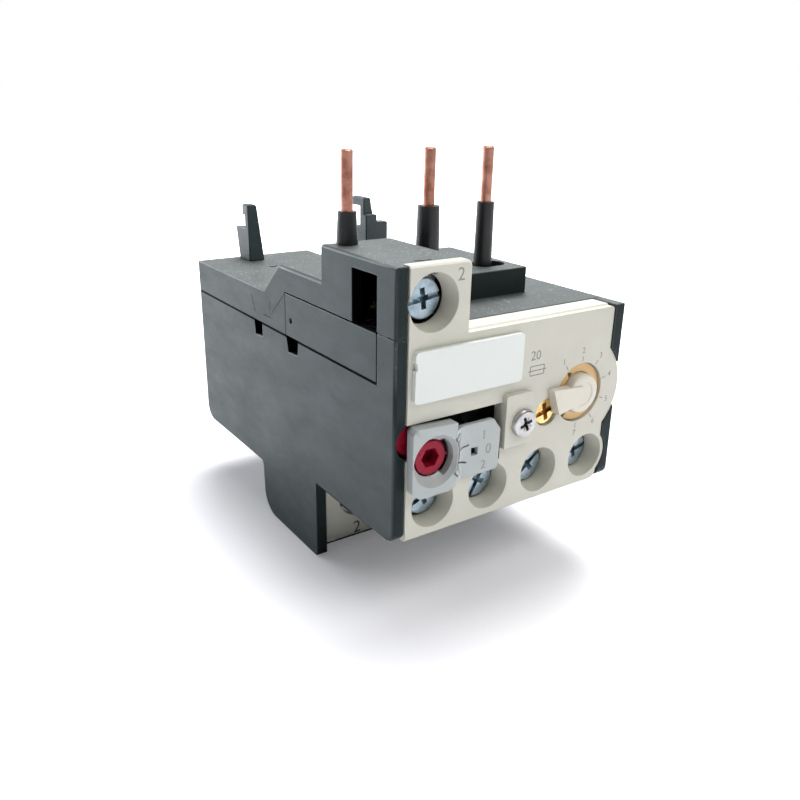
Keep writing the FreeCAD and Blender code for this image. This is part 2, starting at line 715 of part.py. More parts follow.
def make_pin_sleeve(k):
    x = pin_x()[k]
    base_z = tower_z if k == 0 else platform_z - roof_skin - sleeve_depth
    sleeve = Part.makeCone(sleeve_base_r[k], sleeve_top_r[k], sleeve_top_z - base_z, V(x, pin_y, base_z))
    return sleeve.cut(pin_root(x, sleeve_fit))


# ---- heater and bimetal of one phase
def make_bimetal(x):
    strip = box(x - strip_half, x + strip_half, strip_y[0], strip_y[1], strip_root_z, strip_top_z)
    root = box(x - strip_half - 0.5, x + strip_half + 0.5, strip_y[0], strip_y[1], strip_root_z,
               strip_root_z + 2.0)
    return join([strip, root])


def make_heater(x):
    y0 = strip_y[0] - heater_y_margin
    y1 = strip_y[1] + heater_y_margin
    skin = box(x - heater_half_x + heater_skin, x + heater_half_x - heater_skin, y0 + heater_skin,
               y1 - heater_skin,
               heater_z[0], heater_z[1])
    pitch = (heater_z[1] - heater_z[0]) / heater_turns
    turns = [box(x - heater_half_x, x + heater_half_x, y0, y1, heater_z[0] + pitch * (i + 0.15),
                 heater_z[0] + pitch * (i + 0.75)) for i in range(heater_turns)]
    shape = join([skin] + turns)
    return shape.cut(box(x - strip_half, x + strip_half, strip_y[0], strip_y[1], heater_z[0] - 1,
                         heater_z[1] + 1))


# ---- sliders that the bimetal tips push, and the trip lever
def make_slider(level, push_side):
    z0 = barrier_top_z + slider_gap + level * (slider_thick + slider_gap)
    end = slider_x[1] - slider_nose
    shape = box(slider_x[0], end, slider_y[0], slider_y[1], z0, z0 + slider_thick)
    if push_side > 0:
        shape = shape.fuse(box(end, slider_x[1], slider_nose_y[0], slider_nose_y[1], z0, z0 + slider_thick))
    for x in load_x():
        near_side = strip_half + free_gap
        far_side = strip_half + 1.6
        low = x - (far_side if push_side > 0 else near_side)
        high = x + (near_side if push_side > 0 else far_side)
        shape = shape.cut(box(low, high, strip_y[0] - 0.4, strip_y[1] + 0.4, z0 - 1, z0 + slider_thick + 1))
    return shape.removeSplitter()


def make_lever_pin():
    return rod_z(lever_x, lever_y, lever_pin_r, rear_floor_z + wall, seam_z)


def make_trip_lever():
    hub = rod_z(lever_x, lever_y, lever_hub_r, lever_z[0] - 1, lever_z[1] + 0.7)
    low_x = slider_x[1] + free_gap
    rear = box(low_x, low_x + 2 * lever_arm_half, lever_y, lever_rear_y, lever_z[0], lever_z[1])
    front = box(lever_x - lever_arm_half, lever_x + lever_arm_half, lever_front_y, lever_y, lever_z[0],
                lever_z[1])
    return join([hub, rear, front]).cut(rod_z(lever_x, lever_y, lever_pin_r + fit_gap, lever_z[0] - 3,
                                              lever_z[1] + 3))


def make_compensation_strip():
    low = lever_x + lever_arm_half
    return box(low, low + 0.8, lever_front_y + 4, lever_y - lever_hub_r - 1, lever_z[0] + 0.4, lever_z[1] - 0.4)


# ---- contact carrier with its two bridges and return spring
def make_contact_carrier():
    bar = box(carrier_x[0], carrier_x[1], carrier_y[0], carrier_y[1], carrier_z[0], carrier_z[1])
    lug = box(carrier_x[1] - 1.6, carrier_x[1], lever_front_y, carrier_y[1], carrier_z[0], lever_z[1])
    middle_y = (carrier_y[0] + carrier_y[1]) / 2
    middle_z = (carrier_z[0] + carrier_z[1]) / 2
    nose = Part.makeCylinder(carrier_nose_r, carrier_nose, V(carrier_x[0] - carrier_nose, middle_y, middle_z),
                             V(1, 0, 0))
    return join([bar, lug, nose])


def make_bridge(first, second, side, gap):
    y0 = tab_y[0] + bridge_margin
    y1 = tab_y[1] - bridge_margin
    z0 = carrier_z[0] - strip_thick
    offset = tab_thick / 2 + gap
    downs = []
    for k in (first, second):
        near_x = contact_tab_x(k) + side * offset
        far_x = near_x + side * tab_thick
        downs.append(box(min(near_x, far_x), max(near_x, far_x), y0, y1, z0 - bridge_drop, z0 + seam_lap))
    low = min(d.BoundBox.XMin for d in downs)
    high = max(d.BoundBox.XMax for d in downs)
    return join([box(low, high, y0, y1, z0 + seam_lap, z0 + strip_thick)] + downs)


def coil(axis_start, direction, radius, wire_r, length, turns):
    """A spring of ruled wire segments between many-sided sections."""
    steps = int(turns * coil_steps)
    sections = []
    for i in range(steps + 1):
        around = 2 * math.pi * turns * i / steps
        corners = []
        for j in range(wire_sides + 1):
            tilt = 2 * math.pi * j / wire_sides
            reach = radius + wire_r * math.cos(tilt)
            corners.append(V(reach * math.cos(around), reach * math.sin(around),
                             length * i / steps + wire_r * math.sin(tilt)))
        sections.append(Part.makePolygon(corners))
    solid = Part.makeLoft(sections, True, True)
    solid.Placement = FreeCAD.Placement(axis_start, FreeCAD.Rotation(V(0, 0, 1), direction))
    return solid


def make_carrier_spring():
    y = (carrier_y[0] + carrier_y[1]) / 2
    z = (carrier_z[0] + carrier_z[1]) / 2
    start = wall + spring_wire_r + 0.05
    end = carrier_x[0] - spring_wire_r - 0.1
    return coil(V(start, y, z), V(1, 0, 0), carrier_spring_r, spring_wire_r, end - start, 4)


# ---- reset group
def make_reset_guide():
    x1 = recess_x[1] + guide_wall[0]
    low = recess_z[0] - guide_wall[0]
    high = recess_z[1] + guide_wall[1]
    block = box(wall, x1, guide_y[0], guide_y[1], low, high)
    top = box(wall, x1, cover_thick, guide_y[0], recess_z[1] + seam_lap, high)
    bottom = box(wall, x1, cover_thick, guide_y[0], low, recess_z[0] - seam_lap)
    side = box(recess_x[1], x1, cover_thick, guide_y[0], low, high)
    shape = join([block, top, bottom, side])
    shape = shape.cut(rod_y(reset_x, reset_z, button_stem_r + fit_gap, guide_y[0] - 1, guide_y[1] - guide_end))
    shape = shape.cut(box(test_x - test_hole_half, test_x + test_hole_half, guide_y[0] - 1,
                          guide_y[1] - guide_end,
                          test_z - test_hole_half, test_z + test_hole_half))
    for x in aux_x()[:2]:
        shape = shape.cut(rod_y(x, aux_z, aux_head_r + free_gap, 0, aux_strip_y))
        shape = shape.cut(rod_y(x, aux_z, aux_well_r + well_skin + free_gap, 0, well_depth + free_gap))
    return shape


def make_reset_button():
    hub = rod_y(reset_x, reset_z, button_hub_r, button_front, button_hub_back)
    lobe = rod_y(lobe_x, lobe_z, lobe_r, lobe_front, button_hub_back)
    lobe = lobe.makeChamfer(lobe_bevel, [e for e in lobe.Edges if near(e.CenterOfMass.y, lobe_front)])
    neck = slab([(reset_x - 1.9, reset_z - 2.0), (reset_x + 2.2, reset_z + 2.1), (lobe_x + 1.6, lobe_z + 1.9),
                 (lobe_x - 1.2, lobe_z - 2.0)], "y", lobe_front + lobe_bevel, button_hub_back)
    stem = rod_y(reset_x, reset_z, button_stem_r, button_hub_back - 0.1, button_stem_back)
    shape = join([hub, lobe, neck, stem])
    return shape.cut(rod_y(reset_x, reset_z, selector_shaft_r + fit_gap, button_front - 1,
                           button_stem_back + 1))


def make_mode_selector():
    head = rod_y(reset_x, reset_z, selector_r, selector_front, button_front - 0.05)
    shaft = rod_y(reset_x, reset_z, selector_shaft_r, button_front - 0.06, button_stem_back - 0.4)
    pointer = slab([(reset_x, reset_z - selector_pointer_half), (reset_x + selector_tip_r, reset_z),
                    (reset_x, reset_z + selector_pointer_half)],
                   "y", selector_front, selector_front + 0.3)
    corners = [V(reset_x + selector_socket_r * math.cos(i * math.pi / 3), selector_front - seam_lap,
                 reset_z + selector_socket_r * math.sin(i * math.pi / 3)) for i in range(7)]
    socket = Part.makePolygon(corners)
    hollow = Part.Face(socket).extrude(V(0, selector_socket_depth, 0))
    return join([head, shaft, pointer]).cut(hollow)


def make_legend_plate():
    split = legend_split_x
    low, right_low, right_high, high = plate_z
    left = [(plate_left_x, low + 1.2, 0.8), (plate_left_x + 1.4, low, 0.6), (split - 1.2, low),
            (split, low + 0.5), (split, high - 0.4),
            (plate_left_x + 0.8, high, 0.6), (plate_left_x, high - 0.7, 0.5)]
    back = plate_front + plate_skin
    step = plate_front + plate_step
    block = slab(left, "y", plate_front, 0)
    plug = slab(left, "y", 0, back).common(box(recess_x[0] + seam_lap, split, 0, back, recess_z[0] + seam_lap,
                                               recess_z[1]))
    right = [(split, right_low), (plate_right_x - 0.2, right_low, 0.6), (plate_right_x, right_high - 2.0),
             (plate_right_x - 1.5, right_high, 0.5), (split, right_high)]
    panel = slab(right, "y", step, 0)
    ramp = slab([(split, plate_front), (split + legend_ramp, step), (split, step)], "z", right_low, right_high)
    legs = [box(x, x + plate_leg_thick, 0, guide_y[0], test_z - plate_leg_half, test_z + plate_leg_half)
            for x in plate_leg_x]
    shape = join([block, plug, panel, ramp] + legs)
    shape = shape.cut(rod_y(reset_x, reset_z, plate_hole_r, plate_front - 1, back + 1))
    shape = shape.cut(cone_y(reset_x, reset_z, plate_sink_r, plate_hole_r, plate_front - 0.001, selector_front))
    across = 2 * selector_tip_r * math.cos(math.radians(selector_slot_angle))
    aside = 2 * selector_tip_r * math.sin(math.radians(selector_slot_angle))
    wedge = slab([(reset_x, reset_z), (reset_x + across, reset_z - aside),
                  (reset_x + 2 * selector_tip_r, reset_z), (reset_x + across, reset_z + aside)],
                 "y", plate_front - 1, back + 1)
    shape = shape.cut(wedge.common(rod_y(reset_x, reset_z, selector_tip_r + 0.25, plate_front - 1, back + 1)))
    return shape.cut(box(test_x - test_hole_half, test_x + test_hole_half, plate_front - 1, 1,
                         test_z - test_hole_half, test_z + test_hole_half))


def make_reset_spring():
    start = button_stem_back + spring_wire_r + 0.1
    end = guide_y[1] - guide_end - spring_wire_r - 0.1
    return coil(V(reset_x, start, reset_z), V(0, 1, 0), reset_spring_r, spring_wire_r, end - start, 3)


def make_test_pin():
    return box(test_x - test_half, test_x + test_half, test_y[0], test_y[1], test_z - test_half,
               test_z + test_half)


# ---- dial group
def make_dial_knob():
    head = rod_y(dial_x, dial_z, dial_knob_r, dial_front, dial_recess_depth - free_gap)
    head = head.makeChamfer(knob_bevel, [e for e in head.Edges if near(e.CenterOfMass.y, dial_front)])
    tip = dial_x - fin_length
    fin = slab([(dial_x, dial_z - fin_root_half), (dial_x, dial_z + fin_root_half),
                (tip, dial_z + fin_tip_z[1], 0.2), (tip, dial_z + fin_tip_z[0], 0.2)],
               "y", dial_front - free_gap, dial_front + 2 * free_gap)
    shaft = rod_y(dial_x, dial_z, dial_shaft_r, dial_recess_depth - free_gap - 0.1, dial_boss_back + free_gap)
    return join([head, fin, shaft])


def make_dial_ring():
    ring = Part.makeCylinder(dial_ring_r, ring_thick, V(dial_x, ring_front, dial_z), V(0, 1, 0), ring_sweep)
    ring.rotate(V(dial_x, 0, dial_z), V(0, 1, 0), ring_start)
    return ring.cut(rod_y(dial_x, dial_z, dial_knob_r, 0, 2))


def make_dial_cam():
    front = dial_boss_back + free_gap
    return rod_y(dial_x + cam_offset, dial_z, cam_r, front, cam_back)


def make_calibration_screw():
    return screw_y(brass_x, brass_z, brass_head_r, brass_head_y, brass_head_thick, brass_shank_r,
                   boss_y[1] + screw_end, brass_cross_width)


def make_cover_screw():
    return screw_y(screw_x, screw_z, screw_head_r, -tab_proud - cover_head_thick, cover_head_thick,
                   screw_shank_r, boss_y[1] + screw_end, cover_cross_width)


# ---- latch hooks on the rear deck: a blade with a rearward nose, and a rib behind it
def hook_blade_and_rib(x, floor, widths, nose, rib):
    base, top = widths
    nose_reach, nose_height = nose
    rib_foot, rib_reach, rib_top = rib
    back = hook_y + hook_blade
    tip = back + nose_reach
    under = hook_top_z - nose_height
    front = slab([(x, floor), (x + base, floor), (x + top, hook_top_z, hook_corner), (x, hook_top_z, 0.3)],
                 "y", hook_y, tip)
    side = slab([(hook_y, floor), (back, floor), (back, under), (tip, under, 0.3),
                 (tip, hook_top_z, hook_corner), (hook_y, hook_top_z, 0.3)], "x", x, x + base)
    stay = slab([(back - 0.2, floor), (back + rib_foot, floor), (back + rib_reach, rib_top, 0.3),
                 (back - 0.2, rib_top)], "x", x, x + hook_rib_thick)
    return [front.common(side), stay]


def make_left_hook():
    return join(hook_blade_and_rib(left_hook_x, deck_z, left_hook_widths, left_hook_nose, left_hook_rib))


def make_right_hook():
    x = right_hook_x
    base = right_hook_widths[0]
    skirt_front = hook_y - hook_skirt[0]
    skirt = slab([(x, low_deck_z), (x + base, low_deck_z), (x + base - 1.0, hook_skirt[1], 0.3),
                  (x, hook_skirt[1])], "y", skirt_front, hook_y + 0.2)
    block = box(x + base - 1.2, x + base + hook_side[0], skirt_front, hook_y + hook_blade, low_deck_z,
                hook_side[1])
    return join(hook_blade_and_rib(x, low_deck_z, right_hook_widths, right_hook_nose,
                                   right_hook_rib) + [skirt, block])


def write(name, shapes):
    shapes = shapes if isinstance(shapes, list) else [shapes]
    solids = []
    for shape in shapes:
        moved = shape.copy()
        moved.translate(part_origin * -1)
        solids += moved.Solids
    whole = solids[0] if len(solids) == 1 else Part.makeCompound(solids)
    whole.exportStep(os.path.join("parts", name + ".step"))
    print(name, len(solids), "solids", round(sum(s.Volume for s in solids), 1), "mm3",
          all(s.isValid() for s in solids))


def main():
    os.makedirs("parts", exist_ok=True)
    write("lower_housing", make_lower_housing())
    write("upper_housing", make_upper_housing())
    write("side_panel", make_side_panel())
    write("front_cover", make_front_cover())
    write("marker_plate", make_marker_plate())
    write("terminal_cover", make_terminal_cover())
    write("aux_screws", make_aux_screws())
    write("aux_clamps", make_aux_clamps())
    for k in range(aux_count):
        write("contact_strip_" + str(k + 1), make_contact_strip(k))
    write("tower_screw", make_tower_screw())
    write("tower_clamp", make_tower_clamp())
    write("tower_strip", make_tower_strip())
    write("load_screws", make_load_screws())
    for k, x in enumerate(load_x()):
        number = str(k + 1)
        write("load_clamp_" + number, make_load_clamp(x))
        write("load_bar_" + number, make_load_bar(x))
        write("line_pin_" + number, make_line_pin(k))
        write("pin_sleeve_" + number, make_pin_sleeve(k))
        write("bimetal_" + number, make_bimetal(x))
        write("heater_" + number, make_heater(x))
    write("trip_slider", make_slider(1, 1))
    write("return_slider", make_slider(0, -1))
    write("lever_pin", make_lever_pin())
    write("trip_lever", make_trip_lever())
    write("compensation_strip", make_compensation_strip())
    write("contact_carrier", make_contact_carrier())
    write("opening_bridge", make_bridge(0, 1, -1, contact_gap_closed))
    write("closing_bridge", make_bridge(2, 3, 1, carrier_travel + contact_gap_closed))
    write("carrier_spring", make_carrier_spring())
    write("reset_guide", make_reset_guide())
    write("reset_button", make_reset_button())
    write("mode_selector", make_mode_selector())
    write("legend_plate", make_legend_plate())
    write("reset_spring", make_reset_spring())
    write("test_pin", make_test_pin())
    write("dial_knob", make_dial_knob())
    write("dial_ring", make_dial_ring())
    write("dial_cam", make_dial_cam())
    write("calibration_screw", make_calibration_screw())
    write("cover_screw", make_cover_screw())
    write("latch_hook_left", make_left_hook())
    write("latch_hook_right", make_right_hook())


main()
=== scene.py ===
import bpy
import bmesh
import json
import math
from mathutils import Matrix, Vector


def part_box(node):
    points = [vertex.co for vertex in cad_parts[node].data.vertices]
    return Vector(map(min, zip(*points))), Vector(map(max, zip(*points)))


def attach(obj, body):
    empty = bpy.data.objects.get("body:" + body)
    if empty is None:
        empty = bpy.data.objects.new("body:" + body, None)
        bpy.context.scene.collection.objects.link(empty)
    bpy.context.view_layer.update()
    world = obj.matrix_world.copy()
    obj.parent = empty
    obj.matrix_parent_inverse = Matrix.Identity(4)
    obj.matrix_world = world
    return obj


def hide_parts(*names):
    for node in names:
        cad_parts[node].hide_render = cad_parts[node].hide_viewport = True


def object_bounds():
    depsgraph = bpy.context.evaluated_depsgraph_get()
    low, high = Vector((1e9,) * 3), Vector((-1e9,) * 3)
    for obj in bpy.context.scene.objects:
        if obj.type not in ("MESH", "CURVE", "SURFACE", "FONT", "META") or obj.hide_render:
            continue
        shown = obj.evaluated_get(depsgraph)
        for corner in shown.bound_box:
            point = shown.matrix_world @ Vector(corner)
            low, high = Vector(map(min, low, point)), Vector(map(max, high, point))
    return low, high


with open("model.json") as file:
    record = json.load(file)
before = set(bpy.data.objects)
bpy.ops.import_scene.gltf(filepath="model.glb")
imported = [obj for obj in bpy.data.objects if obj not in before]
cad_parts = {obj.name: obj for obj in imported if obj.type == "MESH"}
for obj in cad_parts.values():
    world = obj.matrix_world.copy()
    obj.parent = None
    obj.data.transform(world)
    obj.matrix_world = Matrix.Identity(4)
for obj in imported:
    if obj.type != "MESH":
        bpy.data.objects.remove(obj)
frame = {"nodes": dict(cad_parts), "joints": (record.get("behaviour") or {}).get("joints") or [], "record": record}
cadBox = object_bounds()
nodes = frame["nodes"]
record = frame["record"]
bodyOf = {node: body for body, members in record["behaviour"]["bodies"].items() for node in members}
slotOf = {part["node"]: part["material_slot"] for part in record["subparts"]}
jointAt = {joint["name"]: Vector(joint["pos_m"]) for joint in frame["joints"] if "pos_m" in joint}
mm = 0.001  # the frame is in metres; values named below are in millimetres and degrees, or they say so
print("frame loaded,", len(nodes), "CAD nodes")


# helpers for objects and edit mode

def selectOnly(piece):
    if bpy.context.object and bpy.context.object.mode != "OBJECT":
        bpy.ops.object.mode_set(mode="OBJECT")
    bpy.ops.object.select_all(action="DESELECT")
    piece.select_set(True)
    bpy.context.view_layer.objects.active = piece


def editAll(piece):
    # opens edit mode with everything selected
    selectOnly(piece)
    bpy.ops.object.mode_set(mode="EDIT")
    bpy.ops.mesh.select_all(action="SELECT")


def applyAll(piece):
    selectOnly(piece)
    for modifier in list(piece.modifiers):
        bpy.ops.object.modifier_apply(modifier=modifier.name)


def settle(piece):
    # place, turn and size go into the mesh
    selectOnly(piece)
    bpy.ops.object.transform_apply(location=True, rotation=True, scale=True)


def pickFaces(piece, wanted):
    # in edit mode: selects the faces that wanted(middle, normal) accepts
    bpy.ops.mesh.select_mode(type="FACE")
    bpy.ops.mesh.select_all(action="DESELECT")
    mesh = bmesh.from_edit_mesh(piece.data)
    for face in mesh.faces:
        face.select = bool(wanted(face.calc_center_median(), face.normal))
    mesh.select_flush_mode()
    bmesh.update_edit_mesh(piece.data)


def pickEdges(piece, wanted):
    # in edit mode: selects the edges that wanted(edge) accepts
    bpy.ops.mesh.select_mode(type="EDGE")
    bpy.ops.mesh.select_all(action="DESELECT")
    mesh = bmesh.from_edit_mesh(piece.data)
    for edge in mesh.edges:
        edge.select = bool(wanted(edge))
    mesh.select_flush_mode()
    bmesh.update_edit_mesh(piece.data)


def shadeAgain(piece, smooth):
    # smooth curves and true flats, needed again after every cut
    selectOnly(piece)
    bpy.ops.object.shade_smooth_by_angle(angle=math.radians(smooth))
    piece.modifiers.new("flat faces", "WEIGHTED_NORMAL").keep_sharp = True
    applyAll(piece)


def dress(piece, material, smooth=32):
    settle(piece)
    piece.data.materials.clear()
    piece.data.materials.append(material)
    shadeAgain(piece, smooth)


def standFor(piece, node):
    # the finished piece takes the place of a CAD node
    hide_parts(node)
    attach(piece, bodyOf[node])


def mergedCopy(node, name):
    # a node's own form with its points merged
    piece = bpy.data.objects.new(name, nodes[node].data.copy())
    bpy.context.scene.collection.objects.link(piece)
    editAll(piece)
    bpy.ops.mesh.remove_doubles(threshold=0.002 * mm)
    bpy.ops.object.mode_set(mode="OBJECT")
    return piece


def boxBetween(low, high):
    # a block between two corners
    low, high = Vector(low) * mm, Vector(high) * mm
    bpy.ops.mesh.primitive_cube_add(size=1, location=(low + high) / 2)
    piece = bpy.context.object
    piece.scale = high - low
    settle(piece)
    return piece


def turned(name, centre, steps):
    # a form turned round a line along Y: a disc drawn out step by step, each step (radius, y)
    x, z = centre
    radius, y = steps[0]
    bpy.ops.mesh.primitive_circle_add(vertices=64, radius=radius * mm, fill_type="NGON",
                                      location=(x * mm, y * mm, z * mm), rotation=(math.radians(90), 0, 0))
    piece = bpy.context.object
    piece.name = name
    settle(piece)
    editAll(piece)
    for nextRadius, nextY in steps[1:]:
        bpy.ops.mesh.extrude_region_move(TRANSFORM_OT_translate={"value": (0, (nextY - y) * mm, 0)})
        growth = nextRadius / radius
        if growth != 1:
            bpy.ops.transform.resize(value=(growth, 1, growth),
                                     center_override=(x * mm, nextY * mm, z * mm))
        radius, y = nextRadius, nextY
    bpy.ops.mesh.select_all(action="SELECT")
    bpy.ops.mesh.normals_make_consistent(inside=False)
    bpy.ops.object.mode_set(mode="OBJECT")
    return piece


def joined(pieces, name):
    selectOnly(pieces[0])
    for piece in pieces[1:]:
        piece.select_set(True)
    if len(pieces) > 1:
        bpy.ops.object.join()
    pieces[0].name = name
    return pieces[0]


def combine(piece, tool, operation):
    modifier = piece.modifiers.new(operation.lower(), "BOOLEAN")
    modifier.operation = operation
    modifier.solver = "EXACT"
    modifier.object = tool
    applyAll(piece)
    bpy.data.objects.remove(tool)


def rounded(piece, width, sharp=35):
    modifier = piece.modifiers.new("round", "BEVEL")
    modifier.width = width * mm
    modifier.segments = 2
    modifier.limit_method = "ANGLE"
    modifier.angle_limit = math.radians(sharp)
    applyAll(piece)


def spin(piece, centre, angle):
    # turns a piece round a line along Y
    editAll(piece)
    bpy.ops.transform.rotate(value=math.radians(angle), orient_axis="Y", orient_type="GLOBAL",
                             center_override=(centre[0] * mm, 0, centre[1] * mm))
    bpy.ops.object.mode_set(mode="OBJECT")


def middleOf(node):
    # the middle of a node as seen from the front, (x, z)
    low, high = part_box(node)
    return ((low.x + high.x) / 2 / mm, (low.z + high.z) / 2 / mm)


# materials

def newMaterial(name, colour, roughness, metallic=0.0, specular=0.5, tint=(1, 1, 1)):
    material = bpy.data.materials.new(name)
    material.use_nodes = True
    shader = material.node_tree.nodes["Principled BSDF"]
    shader.inputs["Base Color"].default_value = (*colour, 1)
    shader.inputs["Roughness"].default_value = roughness
    shader.inputs["Metallic"].default_value = metallic
    shader.inputs["Specular IOR Level"].default_value = specular
    shader.inputs["Specular Tint"].default_value = (*tint, 1)
    return material, material.node_tree.nodes, material.node_tree.links, shader


def noiseAt(tree, links, coords, scale, detail, rough=0.55, stretch=None):
    noise = tree.new("ShaderNodeTexNoise")
    noise.inputs["Scale"].default_value = scale
    noise.inputs["Detail"].default_value = detail
    noise.inputs["Roughness"].default_value = rough
    if stretch:
        mapping = tree.new("ShaderNodeMapping")
        mapping.inputs["Scale"].default_value = stretch
        links.new(coords.outputs["Object"], mapping.inputs["Vector"])
        links.new(mapping.outputs["Vector"], noise.inputs["Vector"])
    else:
        links.new(coords.outputs["Object"], noise.inputs["Vector"])
    return noise.outputs["Fac"]


def rampOf(tree, links, source, stops):
    ramp = tree.new("ShaderNodeValToRGB")
    for element, (place, colour) in zip(ramp.color_ramp.elements, stops):
        element.position = place
        element.color = (*colour, 1)
    links.new(source, ramp.inputs["Fac"])
    return ramp.outputs["Color"]


def rangeOf(tree, links, source, span, result):
    # maps a value from one span to another
    mapped = tree.new("ShaderNodeMapRange")
    mapped.inputs["From Min"].default_value = span[0]
    mapped.inputs["From Max"].default_value = span[1]
    mapped.inputs["To Min"].default_value = result[0]
    mapped.inputs["To Max"].default_value = result[1]
    links.new(source, mapped.inputs["Value"])
    return mapped.outputs["Result"]


def normalPart(tree, links, axis):
    # how far a face looks along X, Y or Z
    normal = tree.new("ShaderNodeNewGeometry")
    split = tree.new("ShaderNodeSeparateXYZ")
    links.new(normal.outputs["Normal"], split.inputs["Vector"])
    return split.outputs[axis]


def mixColours(tree, links, factor, first, second, blend="MIX"):
    mix = tree.new("ShaderNodeMix")
    mix.data_type = "RGBA"
    mix.blend_type = blend
    for entry, value in (("Factor", factor), ("A", first), ("B", second)):
        socket = mix.inputs[entry]
        if isinstance(value, bpy.types.NodeSocket):
            links.new(value, socket)
        elif isinstance(value, float):
            socket.default_value = value
        else:
            socket.default_value = (*value, 1)
    return mix.outputs["Result"]


def bumpFrom(tree, links, height, strength, depth):
    bump = tree.new("ShaderNodeBump")
    bump.inputs["Strength"].default_value = strength
    bump.inputs["Distance"].default_value = depth * mm
    links.new(height, bump.inputs["Height"])
    return bump


def shade(colour, factor):
    return tuple(min(1.0, part * factor) for part in colour)


def grey(value):
    return (value, value, value)


dustLook = {"specks": 2600, "clouds": 240, "speckTone": (0.62, 0.63, 0.6), "filmTone": (0.55, 0.56, 0.54),
            "film": 0.16}


def dusted(tree, links, coords, colour, dust):
    # specks and a thin film of dust on what faces up
    up = rampOf(tree, links, normalPart(tree, links, "Z"), [(0.55, grey(0)), (0.95, grey(1))])
    specks = noiseAt(tree, links, coords, dustLook["specks"], 2, 0.7)
    few = rampOf(tree, links, specks, [(0.60, grey(0)), (0.70, grey(1))])
    clouds = noiseAt(tree, links, coords, dustLook["clouds"], 4, 0.6)
    where = rampOf(tree, links, clouds, [(0.38, grey(0.12)), (0.62, grey(1))])
    amount = mixColours(tree, links, 1.0, up, few, "MULTIPLY")
    amount = mixColours(tree, links, 1.0, amount, where, "MULTIPLY")
    amount = mixColours(tree, links, 1.0, amount, grey(dust), "MULTIPLY")
    colour = mixColours(tree, links, amount, colour, dustLook["speckTone"])
    film = mixColours(tree, links, 1.0, up, grey(dust * dustLook["film"]), "MULTIPLY")
    return mixColours(tree, links, film, colour, dustLook["filmTone"])


mouldSkin = {"patches": 160, "smears": 90, "smearStretch": (1, 1, 2.5), "glossSpread": 0.09, "grain": 5200,
             "grainDepth": 0.06, "frontFaces": (-0.95, -0.6), "fullGloss": 0.5}


def plasticMaterial(name, look):
    # moulded plastic: soft mottling, fine spark texture and handling marks
    tone, roughness, mottle = look["colour"], look["roughness"], look["mottle"]
    material, tree, links, shader = newMaterial(name, tone, roughness, tint=look.get("tint", (1, 1, 1)))
    coords = tree.new("ShaderNodeTexCoord")
    patches = noiseAt(tree, links, coords, mouldSkin["patches"], 5)
    colour = rampOf(tree, links, patches, [(0.3, shade(tone, 1 - mottle)), (0.7, shade(tone, 1 + mottle))])
    if "dust" in look:
        colour = dusted(tree, links, coords, colour, look["dust"])
    links.new(colour, shader.inputs["Base Color"])
    smears = noiseAt(tree, links, coords, mouldSkin["smears"], 6, 0.65, stretch=mouldSkin["smearStretch"])
    spread = mouldSkin["glossSpread"]
    gloss = rampOf(tree, links, smears,
                   [(0.25, grey(roughness - spread)), (0.75, grey(roughness + spread))])
    links.new(gloss, shader.inputs["Roughness"])
    if "paintedFrontShade" in look:
        # painted shade: faces towards the front reflect less than the rest, so they look shaded
        shine = rangeOf(tree, links, normalPart(tree, links, "Y"), mouldSkin["frontFaces"],
                        (look["paintedFrontShade"], mouldSkin["fullGloss"]))
        links.new(shine, shader.inputs["Specular IOR Level"])
    grain = noiseAt(tree, links, coords, mouldSkin["grain"], 2, 0.6)
    bump = bumpFrom(tree, links, grain, look["bump"], mouldSkin["grainDepth"])
    if "round" in look:
        soft = tree.new("ShaderNodeBevel")
        soft.samples = 4
        soft.inputs["Radius"].default_value = look["round"] * mm
        links.new(soft.outputs["Normal"], bump.inputs["Normal"])
    links.new(bump.outputs["Normal"], shader.inputs["Normal"])
    return material


metalSkin = {"clouds": 420, "scratches": 900, "scratchStretch": (1, 6, 6), "scratchBump": 0.15,
             "scratchDepth": 0.04}


def metalMaterial(name, look):
    # plated or bare metal: cloudy tone, fine scratches along one way, tarnish in patches
    roughness = look["roughness"]
    material, tree, links, shader = newMaterial(name, look["colour"], roughness, 1.0)
    coords = tree.new("ShaderNodeTexCoord")
    cloud = noiseAt(tree, links, coords, metalSkin["clouds"], 5, 0.6)
    colour = rampOf(tree, links, cloud, [(0.32, look["tarnish"]), (0.62, look["colour"])])
    links.new(colour, shader.inputs["Base Color"])
    stretch = look.get("stretch", metalSkin["scratchStretch"])
    scratch = noiseAt(tree, links, coords, metalSkin["scratches"], 4, 0.7, stretch=stretch)
    gloss = rampOf(tree, links, scratch, [(0.3, grey(roughness - 0.1)), (0.7, grey(roughness + 0.12))])
    links.new(gloss, shader.inputs["Roughness"])
    bump = bumpFrom(tree, links, scratch, metalSkin["scratchBump"], metalSkin["scratchDepth"])
    links.new(bump.outputs["Normal"], shader.inputs["Normal"])
    return material


def inkMaterial(name, colour):
    # printed ink: thin, a little uneven
    material, tree, links, shader = newMaterial(name, colour, 0.55)
    coords = tree.new("ShaderNodeTexCoord")
    patches = noiseAt(tree, links, coords, 2400, 3, 0.6)
    links.new(rampOf(tree, links, patches, [(0.3, colour), (0.75, shade(colour, 1.5))]),
              shader.inputs["Base Color"])
    return material


